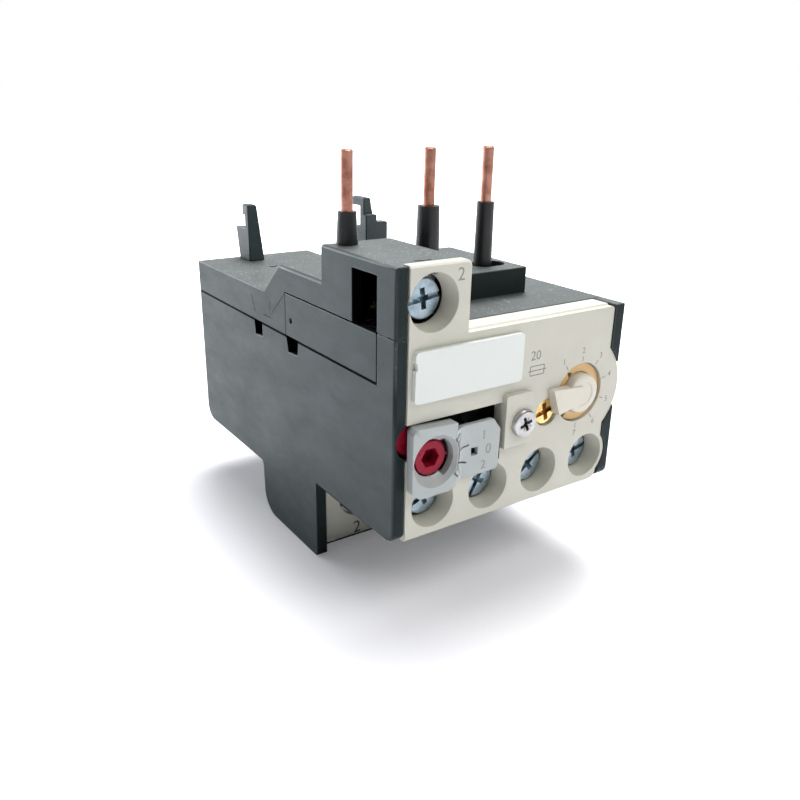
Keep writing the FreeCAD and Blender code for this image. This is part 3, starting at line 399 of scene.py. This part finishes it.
bodyTint = (0.80, 0.98, 1.0)
housingLook = {"colour": (0.017, 0.024, 0.024), "roughness": 0.46, "mottle": 0.10, "bump": 0.22,
               "dust": 0.7, "tint": bodyTint, "paintedFrontShade": 0.1}
plastics = {
    "housingPlastic": housingLook,
    # painted highlight: a lighter, glossier copy of the housing colour for the rounded edges, with less dust
    "housingEdgeHighlight": dict(housingLook, colour=(0.034, 0.040, 0.041), roughness=0.38, dust=0.2),
    # painted shade: a near-black colour for the black body's gaps, where shade falls
    "gapShadePaint": {"colour": grey(0.0015), "roughness": 0.9, "mottle": 0.1, "bump": 0.0,
                   "tint": grey(0.03)},
    "coverPlastic": {"colour": (0.56, 0.55, 0.475), "roughness": 0.45, "mottle": 0.03, "bump": 0.10,
                     "round": 0.16},
    "markerPlastic": {"colour": (0.70, 0.735, 0.70), "roughness": 0.33, "mottle": 0.015, "bump": 0.03},
    "legendPlastic": {"colour": (0.41, 0.44, 0.435), "roughness": 0.42, "mottle": 0.03, "bump": 0.08,
                      "round": 0.14},
    "redPlastic": {"colour": (0.25, 0.006, 0.022), "roughness": 0.3, "mottle": 0.08, "bump": 0.05,
                   "tint": (1.0, 0.25, 0.35)},
    "dialPlastic": {"colour": (0.66, 0.63, 0.54), "roughness": 0.36, "mottle": 0.03, "bump": 0.05},
    "ringPlastic": {"colour": (0.72, 0.47, 0.20), "roughness": 0.4, "mottle": 0.05, "bump": 0.05},
    "sleevePlastic": {"colour": (0.012, 0.013, 0.014), "roughness": 0.38, "mottle": 0.1, "bump": 0.1,
                      "dust": 0.2},
    "hookPlastic": {"colour": (0.036, 0.046, 0.048), "roughness": 0.42, "mottle": 0.1, "bump": 0.18,
                    "dust": 0.3, "tint": bodyTint},
    "innerPlastic": {"colour": (0.6, 0.58, 0.5), "roughness": 0.5, "mottle": 0.04, "bump": 0.18},
}
metals = {
    "pinCopper": {"colour": (0.60, 0.30, 0.22), "tarnish": (0.30, 0.12, 0.08), "roughness": 0.36,
                  "stretch": (8, 8, 1)},
    "zincSteel": {"colour": (0.40, 0.49, 0.54), "tarnish": (0.22, 0.29, 0.33), "roughness": 0.32},
    "platedSteel": {"colour": (0.62, 0.60, 0.54), "tarnish": (0.42, 0.40, 0.34), "roughness": 0.36},
    "brightSteel": {"colour": (0.52, 0.52, 0.51), "tarnish": (0.36, 0.36, 0.35), "roughness": 0.32},
    "brassMetal": {"colour": (0.84, 0.62, 0.28), "tarnish": (0.58, 0.38, 0.14), "roughness": 0.28},
    "springSteel": {"colour": grey(0.6), "tarnish": grey(0.4), "roughness": 0.3},
}
inks = {"printInk": (0.035, 0.037, 0.04), "greyInk": (0.20, 0.20, 0.19), "raisedMarkShade": (0.22, 0.235, 0.235)}
materials = {name: plasticMaterial(name, look) for name, look in plastics.items()}
materials.update({name: metalMaterial(name, look) for name, look in metals.items()})
materials.update({name: inkMaterial(name, colour) for name, colour in inks.items()})

bySlot = {"housing_plastic": "housingPlastic", "cover_plastic": "coverPlastic",
          "marker_plastic": "markerPlastic", "legend_plastic": "legendPlastic", "red_plastic": "redPlastic",
          "dial_plastic": "dialPlastic", "ring_plastic": "ringPlastic", "sleeve_plastic": "sleevePlastic",
          "hook_plastic": "hookPlastic", "inner_plastic": "innerPlastic", "copper": "pinCopper",
          "zinc_steel": "zincSteel", "plated_steel": "platedSteel", "bimetal_steel": "platedSteel",
          "heater_ribbon": "platedSteel", "bright_steel": "brightSteel", "brass_screw": "brassMetal",
          "strip_brass": "brassMetal", "spring_steel": "springSteel"}
for node, part in nodes.items():
    for place in part.material_slots:
        place.material = materials[bySlot[slotOf[node]]]
print("materials ready,", len(materials))


# camera, lamps, surroundings and floor

camera = {"place": (-79.80, -118.42, 75.87), "turn": (69.035, -1.040, -34.312), "lens": 35.57}
cameraData = bpy.data.cameras.new("camera")
cameraData.lens = camera["lens"]
cameraData.sensor_width = 36
cameraData.clip_start = 0.005
cameraObject = bpy.data.objects.new("camera", cameraData)
cameraObject.location = Vector(camera["place"]) * mm
cameraObject.rotation_euler = [math.radians(angle) for angle in camera["turn"]]
bpy.context.scene.collection.objects.link(cameraObject)
bpy.context.scene.camera = cameraObject

lampTarget = Vector((0, 0, 0.025))
lamps = {  # places and sizes in metres
    "rearBox": {"place": (-0.30, 0.78, 0.24), "size": 0.55, "power": 4.5, "colour": (0.96, 0.98, 1.0)},
    "topBox": {"place": (0.23, 0.25, 0.78), "size": 0.50, "power": 12.5, "colour": (1.0, 1.0, 1.0)},
    "frontFill": {"place": (0.26, -0.46, 0.62), "size": 0.50, "power": 3.6, "colour": (1.0, 0.99, 0.97)},
}
for name, lamp in lamps.items():
    lampData = bpy.data.lights.new(name, "AREA")
    lampData.size = lamp["size"]
    lampData.energy = lamp["power"]
    lampData.color = lamp["colour"]
    lampObject = bpy.data.objects.new(name, lampData)
    lampObject.location = lamp["place"]
    aim = lampTarget - Vector(lamp["place"])
    lampObject.rotation_euler = aim.to_track_quat("-Z", "Y").to_euler()
    bpy.context.scene.collection.objects.link(lampObject)

# the surroundings are darker in front of the object than behind it
studio = {"tone": (0.93, 0.95, 1.0), "span": (-0.8, 0.9), "strength": (0.07, 0.5)}
world = bpy.data.worlds.new("studio")
bpy.context.scene.world = world
world.use_nodes = True
worldTree, worldLinks = world.node_tree.nodes, world.node_tree.links
surround = worldTree["Background"]
surround.inputs["Color"].default_value = (*studio["tone"], 1)
direction = worldTree.new("ShaderNodeTexCoord")
directionParts = worldTree.new("ShaderNodeSeparateXYZ")
worldLinks.new(direction.outputs["Generated"], directionParts.inputs["Vector"])
strength = rangeOf(worldTree, worldLinks, directionParts.outputs["Y"], studio["span"], studio["strength"])
worldLinks.new(strength, surround.inputs["Strength"])
whiteSky = worldTree.new("ShaderNodeBackground")  # the camera itself sees plain white
whiteSky.inputs["Color"].default_value = (1, 1, 1, 1)
rays = worldTree.new("ShaderNodeLightPath")
skyMix = worldTree.new("ShaderNodeMixShader")
worldLinks.new(rays.outputs["Is Camera Ray"], skyMix.inputs["Fac"])
worldLinks.new(surround.outputs["Background"], skyMix.inputs[1])
worldLinks.new(whiteSky.outputs["Background"], skyMix.inputs[2])
worldLinks.new(skyMix.outputs["Shader"], worldTree["World Output"].inputs["Surface"])

# the camera sees the paper lifted to white, more so far out, so only the near shadow shows; in metres
paper = {"size": 6.0, "colour": (0.80, 0.80, 0.83), "liftTone": (0.98, 0.98, 1.0), "liftFrom": (0.06, 0.22),
         "lift": (0.14, 1.0)}
selectOnly(cameraObject)
bpy.ops.mesh.primitive_plane_add(size=paper["size"], location=(0, 0, 0))
floor = bpy.context.object
floor.name = "floor"
floorMaterial, floorTree, floorLinks, floorShader = newMaterial("floorPaper", paper["colour"], 0.9,
                                                                specular=0.0)
floorCoords = floorTree.new("ShaderNodeTexCoord")
distance = floorTree.new("ShaderNodeVectorMath")
distance.operation = "LENGTH"
floorLinks.new(floorCoords.outputs["Object"], distance.inputs[0])
lift = rangeOf(floorTree, floorLinks, distance.outputs["Value"], paper["liftFrom"], paper["lift"])
seen = floorTree.new("ShaderNodeLightPath")
onlySeen = floorTree.new("ShaderNodeMath")
onlySeen.operation = "MULTIPLY"
floorLinks.new(lift, onlySeen.inputs[0])
floorLinks.new(seen.outputs["Is Camera Ray"], onlySeen.inputs[1])
floorShader.inputs["Emission Color"].default_value = (*paper["liftTone"], 1)
floorLinks.new(onlySeen.outputs["Value"], floorShader.inputs["Emission Strength"])
floor.data.materials.append(floorMaterial)
bpy.context.scene.view_settings.view_transform = "Standard"
print("camera, lamps and floor placed")


# moulded shells: the nodes' own forms with a small real radius on their hard edges

# softer edges, and edges shorter than so many bevel widths, stay as they are
rounding = {"flatWithin": 0.6, "leastAngle": 35, "leastWidths": 2.4975, "segments": 2, "profile": 0.6,
            "smooth": 40}


def mouldedCopy(node, shell):
    piece = mergedCopy(node, shell["name"])
    width = shell["width"] * mm
    leastAngle, leastLength = math.radians(rounding["leastAngle"]), rounding["leastWidths"] * width
    editAll(piece)
    bpy.ops.mesh.dissolve_limited(angle_limit=math.radians(rounding["flatWithin"]),
                                  use_dissolve_boundaries=False)
    pickEdges(piece, lambda edge: edge.is_manifold and edge.calc_face_angle(0) > leastAngle
              and edge.calc_length() > leastLength)
    bpy.ops.object.mode_set(mode="OBJECT")
    piece.data.materials.clear()
    piece.data.materials.append(materials[shell["look"]])
    # the bevel faces take the shell's edge material, which for the black body is a painted highlight
    piece.data.materials.append(materials[shell.get("edge", shell["look"])])
    bpy.ops.object.mode_set(mode="EDIT")
    bpy.ops.mesh.bevel(offset=width, offset_type="OFFSET", segments=rounding["segments"],
                       profile=rounding["profile"], affect="EDGES", clamp_overlap=False, loop_slide=True,
                       material=1, miter_outer="SHARP")
    bpy.ops.object.mode_set(mode="OBJECT")
    shadeAgain(piece, rounding["smooth"])
    standFor(piece, node)
    return piece


blackBody = {"look": "housingPlastic", "edge": "housingEdgeHighlight"}
shells = {
    "lower_housing": dict(blackBody, name="lowerHousing", width=0.22),
    "upper_housing": dict(blackBody, name="upperHousing", width=0.22),
    "side_panel": dict(blackBody, name="sidePanel", width=0.10),
    "marker_plate": {"name": "markerPlate", "width": 0.11, "look": "markerPlastic"},
    "terminal_cover": {"name": "terminalCover", "width": 0.14, "look": "coverPlastic"},
    "reset_button": {"name": "resetButton", "width": 0.15, "look": "redPlastic"},
    "mode_selector": {"name": "modeSelector", "width": 0.10, "look": "redPlastic"},
    "latch_hook_left": dict(blackBody, name="latchHookLeft", width=0.2, look="hookPlastic"),
    "latch_hook_right": dict(blackBody, name="latchHookRight", width=0.2, look="hookPlastic"),
}
moulded = {node: mouldedCopy(node, shell) for node, shell in shells.items()}
print("shells moulded,", len(moulded))


# painted shade: the joint between the housings, the snap windows and the tower's window are unlit gaps of the
# black body, coloured near black

def darken(piece, wanted):
    if materials["gapShadePaint"].name not in piece.data.materials:
        piece.data.materials.append(materials["gapShadePaint"])
    selectOnly(piece)
    bpy.ops.object.mode_set(mode="EDIT")
    pickFaces(piece, wanted)
    piece.active_material_index = piece.data.materials.find(materials["gapShadePaint"].name)
    bpy.ops.object.material_slot_assign()
    bpy.ops.object.mode_set(mode="OBJECT")


def insideOf(*spans):
    # accepts the faces whose middle lies between these limits along X, Y and Z
    return lambda middle, normal: all(low < part < high for part, (low, high) in zip(middle, spans))


panelLow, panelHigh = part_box("side_panel")
wallX = cadBox[0][0]
gaps = {"drop": 0.15, "half": 0.26, "depth": 0.3, "panelTop": 0.12, "sideways": 0.97,  # the joint
        "skin": 0.05,  # the windows start this far inside the wall
        "snapDepth": 1.5, "snapHeight": 3.2, "snapLap": 0.2, "snapRear": 14,
        "towerDepth": 2.1, "towerHeight": 8.4, "towerFront": 0.4, "towerRear": 6.8}
seamZ = panelLow.z - gaps["drop"] * mm


def onSeam(middle, normal):
    atWall = middle.x < wallX + gaps["depth"] * mm and abs(normal.x) < gaps["sideways"]
    atJoint = abs(middle.z - seamZ) < gaps["half"] * mm
    return atWall and atJoint and middle.y > panelLow.y - gaps["half"] * mm


def onPanelTop(middle, normal):
    return middle.z > panelHigh.z - gaps["panelTop"] * mm and abs(normal.x) < gaps["sideways"]


skin = wallX + gaps["skin"] * mm
snapWindows = insideOf((skin, wallX + gaps["snapDepth"] * mm),
                       (panelLow.y, panelHigh.y + gaps["snapRear"] * mm),
                       (seamZ - gaps["snapHeight"] * mm, seamZ + gaps["snapLap"] * mm))
towerWindow = insideOf((skin, wallX + gaps["towerDepth"] * mm),
                       (panelLow.y - gaps["towerFront"] * mm, panelLow.y + gaps["towerRear"] * mm),
                       (panelHigh.z, panelHigh.z + gaps["towerHeight"] * mm))
for node in ("lower_housing", "upper_housing", "side_panel"):
    darken(moulded[node], onSeam)
darken(moulded["side_panel"], onPanelTop)
darken(moulded["lower_housing"], snapWindows)
darken(moulded["upper_housing"], towerWindow)

# faint moulded lines on the left wall, each from (y, z) to (y, z), behind the panel and above the joint
wallLines = {"depth": 0.10, "width": 0.15,
             "lines": (((5.85, 4.9), (6.0, 1.8)), ((5.3, 2.6), (0.3, 7.0)), ((5.0, 1.85), (8.6, 1.75)),
                       ((13.5, 4.6), (12.1, 1.5)))}
for (startY, startZ), (endY, endZ) in wallLines["lines"]:
    lineMiddle = Vector((wallX, panelHigh.y + (startY + endY) / 2 * mm, seamZ + (startZ + endZ) / 2 * mm))
    bpy.ops.mesh.primitive_cube_add(size=1, location=lineMiddle,
                                    rotation=(math.atan2(endZ - startZ, endY - startY), 0, 0))
    tool = bpy.context.object
    lineLength = math.hypot(endY - startY, endZ - startZ)
    tool.scale = (wallLines["depth"] * mm, lineLength * mm, wallLines["width"] * mm)
    settle(tool)
    combine(moulded["upper_housing"], tool, "DIFFERENCE")
shadeAgain(moulded["upper_housing"], rounding["smooth"])
print("joints darkened")


# screws: turned heads with their recesses

recess = {"clear": 0.5, "taper": 0.6}
screwForm = {"pointShare": 0.8, "pointLength": 0.4, "shoulderIn": 0.3, "shoulderUp": 0.4}
crossRibs = {"depth": 0.14, "armShare": 0.85, "width": 0.16}


def crossTool(centre, front, depth, arm, width, taper):
    # two crossed wedges that narrow towards the recess's floor
    x, z = centre
    wedges = []
    for halfX, halfZ in ((arm, width / 2), (width / 2, arm)):
        wedge = boxBetween((x - halfX, front - recess["clear"], z - halfZ),
                           (x + halfX, front + depth, z + halfZ))
        bpy.ops.object.mode_set(mode="EDIT")
        pickFaces(wedge, lambda middle, normal: normal.y > 0.5)
        bpy.ops.transform.resize(value=(taper, 1, taper),
                                 center_override=(x * mm, (front + depth) * mm, z * mm))
        bpy.ops.object.mode_set(mode="OBJECT")
        wedges.append(wedge)
    combine(wedges[0], wedges[1], "UNION")
    return wedges[0]


def makeScrew(centre, spec, front, tip, angle):
    x, z = centre
    head, shank, edge, rear = spec["head"], spec["shank"], spec["edge"], front + spec["thick"]
    screw = turned("screw", centre, [
        (shank * screwForm["pointShare"], tip), (shank, tip - screwForm["pointLength"]), (shank, rear),
        (head, rear), (head, front + edge),
        (head - screwForm["shoulderIn"] * edge, front + screwForm["shoulderUp"] * edge),
        (head - edge, front)])
    if "slot" in spec:
        reach, half = head + 1, spec["slot"] / 2
        combine(screw, boxBetween((x - reach, front - recess["clear"], z - half),
                                  (x + reach, front + spec["slotDepth"], z + half)), "DIFFERENCE")
    cross = crossTool(centre, front, spec["depth"], spec["arm"], spec["width"], recess["taper"])
    combine(screw, cross, "DIFFERENCE")
    if "ribs" in spec:
        ribs = crossTool(centre, front, spec["ribs"]["depth"], spec["arm"] * spec["ribs"]["armShare"],
                         spec["ribs"]["width"], 1.0)
        spin(ribs, centre, 45)
        combine(screw, ribs, "DIFFERENCE")
    spin(screw, centre, angle)
    return screw


def screwCentres(node, head, count):
    # the node's screws stand in one row along X
    if count == 1:
        return [middleOf(node)]
    low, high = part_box(node)
    first, last = low.x / mm + head, high.x / mm - head
    return [(first + (last - first) * k / (count - 1), middleOf(node)[1]) for k in range(count)]


terminalScrew = {"head": 3.0, "shank": 1.6, "thick": 1.6, "edge": 0.32, "slot": 0.72, "slotDepth": 0.62,
                 "arm": 1.75, "width": 0.95, "depth": 1.25}
loadScrew = dict(terminalScrew, head=3.6, shank=2.0, thick=2.4, arm=2.1, width=1.1, depth=1.7)
coverScrew = {"head": 2.25, "shank": 1.3, "thick": 0.9, "edge": 0.42, "arm": 1.35, "width": 0.62,
              "depth": 1.5, "ribs": crossRibs}
brassScrew = {"head": 2.25, "shank": 1.2, "thick": 1.3, "edge": 0.25, "slot": 0.75, "slotDepth": 0.75,
              "arm": 1.75, "width": 0.95, "depth": 1.15}
screws = {  # name, form, material, and the angle at which each screw's cross stands
    "aux_screws": ("terminalScrews", terminalScrew, "zincSteel", (25, 62, 38, 12)),
    "tower_screw": ("towerScrew", terminalScrew, "zincSteel", (8,)),
    "load_screws": ("loadScrews", loadScrew, "zincSteel", (30, 70, 15)),
    "cover_screw": ("coverScrew", coverScrew, "brightSteel", (20,)),
    "calibration_screw": ("calibrationScrew", brassScrew, "brassMetal", (14,)),
}
for node, (name, spec, look, angles) in screws.items():
    low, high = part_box(node)
    centres = screwCentres(node, spec["head"], len(angles))
    made = [makeScrew(centre, spec, low.y / mm, high.y / mm, angle)
            for centre, angle in zip(centres, angles)]
    piece = joined(made, name)
    dress(piece, materials[look], 30)
    standFor(piece, node)
print("screws turned")


# dial: coloured ring, knob with its wing, arrow

dialJoint = jointAt["dial_turn"] / mm
dialCentre = (dialJoint.x, dialJoint.z)
coverFaceY = dialJoint.y
knobLow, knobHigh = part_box("dial_knob")
ringLow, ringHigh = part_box("dial_ring")
ringFront = ringLow.y / mm
dialRing = {"radii": (3.42, 4.9), "start": -124, "sweep": 280, "steps": 48, "edge": 0.08}
dialCap = {"radius": 3.3, "edge": 0.45, "behind": 0.3, "hubRadius": 2.0, "overRing": 0.2, "shoulderIn": 0.4,
           "shoulderUp": 0.1, "dishShares": (0.62, 0.58), "dishDepth": 0.12, "rounding": 0.12}
dialWing = {"reach": 6.2, "half": 2.35, "lean": 20, "drop": -0.25, "root": 0.5, "rootShare": 0.62,
            "overRing": -0.1}
dialArrow = {"angle": 123, "radius": 3.95, "size": 0.62, "turn": -50, "thick": 0.02}


def sweptRing(name, centre, spec, front, rear):
    # part of a ring round a line along Y, from its cross-section spun through an angle
    x, z = centre
    inner, outer = spec["radii"]
    middle = (x + (inner + outer) / 2, (front + rear) / 2, z)
    bpy.ops.mesh.primitive_plane_add(size=1, location=Vector(middle) * mm)
    piece = bpy.context.object
    piece.name = name
    piece.scale = ((outer - inner) * mm, (rear - front) * mm, 1)
    settle(piece)
    editAll(piece)
    hub = (x * mm, 0, z * mm)
    bpy.ops.transform.rotate(value=math.radians(spec["start"]), orient_axis="Y", orient_type="GLOBAL",
                             center_override=hub)
    bpy.ops.mesh.spin(steps=spec["steps"], angle=math.radians(spec["sweep"]), center=hub, axis=(0, 1, 0))
    bpy.ops.mesh.select_all(action="SELECT")
    bpy.ops.mesh.remove_doubles(threshold=0.001 * mm)
    bpy.ops.mesh.normals_make_consistent(inside=False)
    bpy.ops.object.mode_set(mode="OBJECT")
    return piece


def makeCap():
    radius, edge = dialCap["radius"], dialCap["edge"]
    front, rear = knobLow.y / mm + dialCap["behind"], ringFront + dialCap["overRing"]
    rim, floorShare = dialCap["dishShares"]
    return turned("dialKnob", dialCentre, [
        (dialCap["hubRadius"], knobHigh.y / mm), (dialCap["hubRadius"], rear), (radius, rear),
        (radius, front + edge), (radius - edge * dialCap["shoulderIn"], front + dialCap["shoulderUp"]),
        (radius - edge, front), (radius * rim, front), (radius * floorShare, front + dialCap["dishDepth"])])


def makeWing():
    # a block whose outer end leans and whose root narrows to the cap
    x, z = dialCentre
    half, drop = dialWing["half"], dialWing["drop"]
    wing = boxBetween((x - dialWing["reach"], knobLow.y / mm, z - half),
                      (x - dialWing["root"], ringFront + dialWing["overRing"], z + half))
    bpy.ops.object.mode_set(mode="EDIT")
    pickFaces(wing, lambda middle, normal: normal.x < -0.5)
    bpy.ops.transform.rotate(value=math.radians(dialWing["lean"]), orient_axis="Y", orient_type="GLOBAL",
                             center_override=((x - dialWing["reach"]) * mm, 0, (z + drop) * mm))
    bpy.ops.transform.translate(value=(0, 0, drop * mm))
    pickFaces(wing, lambda middle, normal: normal.x > 0.5)
    bpy.ops.transform.resize(value=(1, 1, dialWing["rootShare"]), center_override=(x * mm, 0, z * mm))
    bpy.ops.object.mode_set(mode="OBJECT")
    return wing


def makeArrow():
    angle = math.radians(dialArrow["angle"])
    x = dialCentre[0] + dialArrow["radius"] * math.cos(angle)
    z = dialCentre[1] + dialArrow["radius"] * math.sin(angle)
    bpy.ops.mesh.primitive_circle_add(vertices=3, radius=dialArrow["size"] * mm, fill_type="NGON",
                                      location=(x * mm, (ringFront - dialArrow["thick"]) * mm, z * mm),
                                      rotation=(math.radians(90), math.radians(dialArrow["turn"]), 0))
    arrow = bpy.context.object
    arrow.name = "dialArrow"
    settle(arrow)
    editAll(arrow)
    bpy.ops.mesh.extrude_region_move(TRANSFORM_OT_translate={"value": (0, dialArrow["thick"] * mm, 0)})
    bpy.ops.mesh.select_all(action="SELECT")
    bpy.ops.mesh.normals_make_consistent(inside=False)
    bpy.ops.object.mode_set(mode="OBJECT")
    return arrow


ring = sweptRing("dialRing", dialCentre, dialRing, ringFront, ringHigh.y / mm)
rounded(ring, dialRing["edge"])
dress(ring, materials["ringPlastic"], 30)
standFor(ring, "dial_ring")

knob = makeCap()
combine(knob, makeWing(), "UNION")
rounded(knob, dialCap["rounding"], 40)
dress(knob, materials["dialPlastic"], 40)
standFor(knob, "dial_knob")

arrow = makeArrow()
dress(arrow, materials["printInk"])
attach(arrow, bodyOf["dial_ring"])
print("dial made")


# printed marks: plain numbers, scale lines and a fuse sign

ink = {"textDepth": 0.008, "textScale": 1.4, "lineDepth": 0.02, "proud": 0.012}
coverInkY = coverFaceY - ink["proud"]
dialScale = {"first": 125, "last": -92, "count": 7, "tickRadii": (5.35, 6.2), "tickWidth": 0.16,
             "numberRadius": 7.15, "size": 1.0}
fuseSign = {"x": (-11.45, -8.55), "z": (4.85, 6.35), "lead": 0.45, "line": 0.15,
            "number": "20", "numberAt": (-10.45, 8.0), "size": 1.55}  # places from the dial's centre
towerNumber = {"number": "2", "from": (4.45, 3.4), "size": 1.9}  # from the screw's centre
loadNumbers = {"first": 2, "step": 2, "left": 0.3, "up": 1.3, "size": 2.4}  # up from the cover's lower edge


def printedText(words, x, z, height, y):
    bpy.ops.object.text_add(location=(x * mm, y * mm, z * mm), rotation=(math.radians(90), 0, 0))
    piece = bpy.context.object
    piece.data.body = words
    piece.data.align_x = "CENTER"
    piece.data.align_y = "CENTER"
    piece.data.size = height * ink["textScale"] * mm
    piece.data.extrude = ink["textDepth"] * mm
    piece.data.resolution_u = 4
    bpy.ops.object.convert(target="MESH")
    settle(piece)
    return piece


def printedLine(start, end, width, y):
    # a thin bar of ink between two places (x, z)
    (startX, startZ), (endX, endZ) = start, end
    middle = ((startX + endX) / 2 * mm, y * mm, (startZ + endZ) / 2 * mm)
    bpy.ops.mesh.primitive_cube_add(size=1, location=middle,
                                    rotation=(0, -math.atan2(endZ - startZ, endX - startX), 0))
    piece = bpy.context.object
    piece.scale = (math.hypot(endX - startX, endZ - startZ) * mm, ink["lineDepth"] * mm, width * mm)
    settle(piece)
    return piece


def printOn(node, name, marks, look):
    piece = joined(marks, name)
    dress(piece, materials[look])
    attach(piece, bodyOf[node])


def aroundDial(radius, angle):
    return (dialCentre[0] + radius * math.cos(angle), dialCentre[1] + radius * math.sin(angle))


marks = []
for k in range(dialScale["count"]):
    span = dialScale["last"] - dialScale["first"]
    angle = math.radians(dialScale["first"] + span * k / (dialScale["count"] - 1))
    start, end = (aroundDial(radius, angle) for radius in dialScale["tickRadii"])
    marks.append(printedLine(start, end, dialScale["tickWidth"], coverInkY))
    x, z = aroundDial(dialScale["numberRadius"], angle)
    marks.append(printedText(str(k + 1), x, z, dialScale["size"], coverInkY))
printOn("front_cover", "dialPrint", marks, "greyInk")

left, right = (dialCentre[0] + x for x in fuseSign["x"])
bottom, top = (dialCentre[1] + z for z in fuseSign["z"])
middle, lead = (bottom + top) / 2, fuseSign["lead"]
strokes = [((left, bottom), (right, bottom)), ((left, top), (right, top)), ((left, bottom), (left, top)),
           ((right, bottom), (right, top)), ((left - lead, middle), (right + lead, middle))]
marks = [printedLine(start, end, fuseSign["line"], coverInkY) for start, end in strokes]
marks.append(printedText(fuseSign["number"], dialCentre[0] + fuseSign["numberAt"][0],
                         dialCentre[1] + fuseSign["numberAt"][1], fuseSign["size"], coverInkY))
printOn("front_cover", "fusePrint", marks, "greyInk")

x, z = middleOf("tower_screw")
mark = printedText(towerNumber["number"], x + towerNumber["from"][0], z + towerNumber["from"][1],
                   towerNumber["size"], coverInkY)
printOn("front_cover", "towerPrint", [mark], "greyInk")

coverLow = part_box("terminal_cover")[0] / mm
loadCentres = screwCentres("load_screws", loadScrew["head"], len(screws["load_screws"][3]))
marks = [printedText(str(loadNumbers["first"] + loadNumbers["step"] * k), x - loadNumbers["left"],
                     coverLow.z + loadNumbers["up"], loadNumbers["size"], coverLow.y - ink["proud"])
         for k, (x, z) in enumerate(loadCentres)]
printOn("terminal_cover", "loadPrint", marks, "printInk")
print("printed marks made")


# legend plate: an arc and four arms cut in it beside the selector, and its marks

selectorJoint = jointAt["selector_turn"] / mm
selectorCentre = (selectorJoint.x, selectorJoint.z)
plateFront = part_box("legend_plate")[0].y / mm
arc = {"radii": (4.25, 4.55), "angles": range(-36, 40, 8), "half": 0.34, "depth": 1.2}
arms = {"inner": 4.4, "half": 0.13,  # each cut has an angle, a reach and a depth
        "cuts": ((38, 5.5, 0.62), (7, 6.6, 1.15), (-18, 6.5, 1.15), (-40, 5.7, 0.62))}
plateMarks = {"step": 0.8, "sunk": 0.03,  # each mark has its number, place from the selector and size
              "marks": (("1", 9.4, 1.8, 1.5), ("0", 10.4, -0.7, 1.7), ("2", 9.5, -3.2, 1.5))}


def plateGroove(angle, inner, outer, half, depth):
    x, z = selectorCentre
    tool = boxBetween((x + inner, plateFront - recess["clear"], z - half),
                      (x + outer, plateFront + depth, z + half))
    spin(tool, selectorCentre, angle)
    return tool


plate = mergedCopy("legend_plate", "legendPlate")
grooves = [plateGroove(angle, *arc["radii"], arc["half"], arc["depth"]) for angle in arc["angles"]]
grooves += [plateGroove(angle, arms["inner"], reach, arms["half"], depth)
            for angle, reach, depth in arms["cuts"]]
for groove in grooves:
    combine(plate, groove, "DIFFERENCE")
dress(plate, materials["legendPlastic"], 25)
standFor(plate, "legend_plate")

# painted shade: the raised numbers take a darker grey that stands for the shadows round them
raisedY = plateFront + plateMarks["step"] - plateMarks["sunk"]
marks = [printedText(number, selectorCentre[0] + x, selectorCentre[1] + z, size, raisedY)
         for number, x, z, size in plateMarks["marks"]]
printOn("legend_plate", "raisedMarks", marks, "raisedMarkShade")
print("legend plate finished")
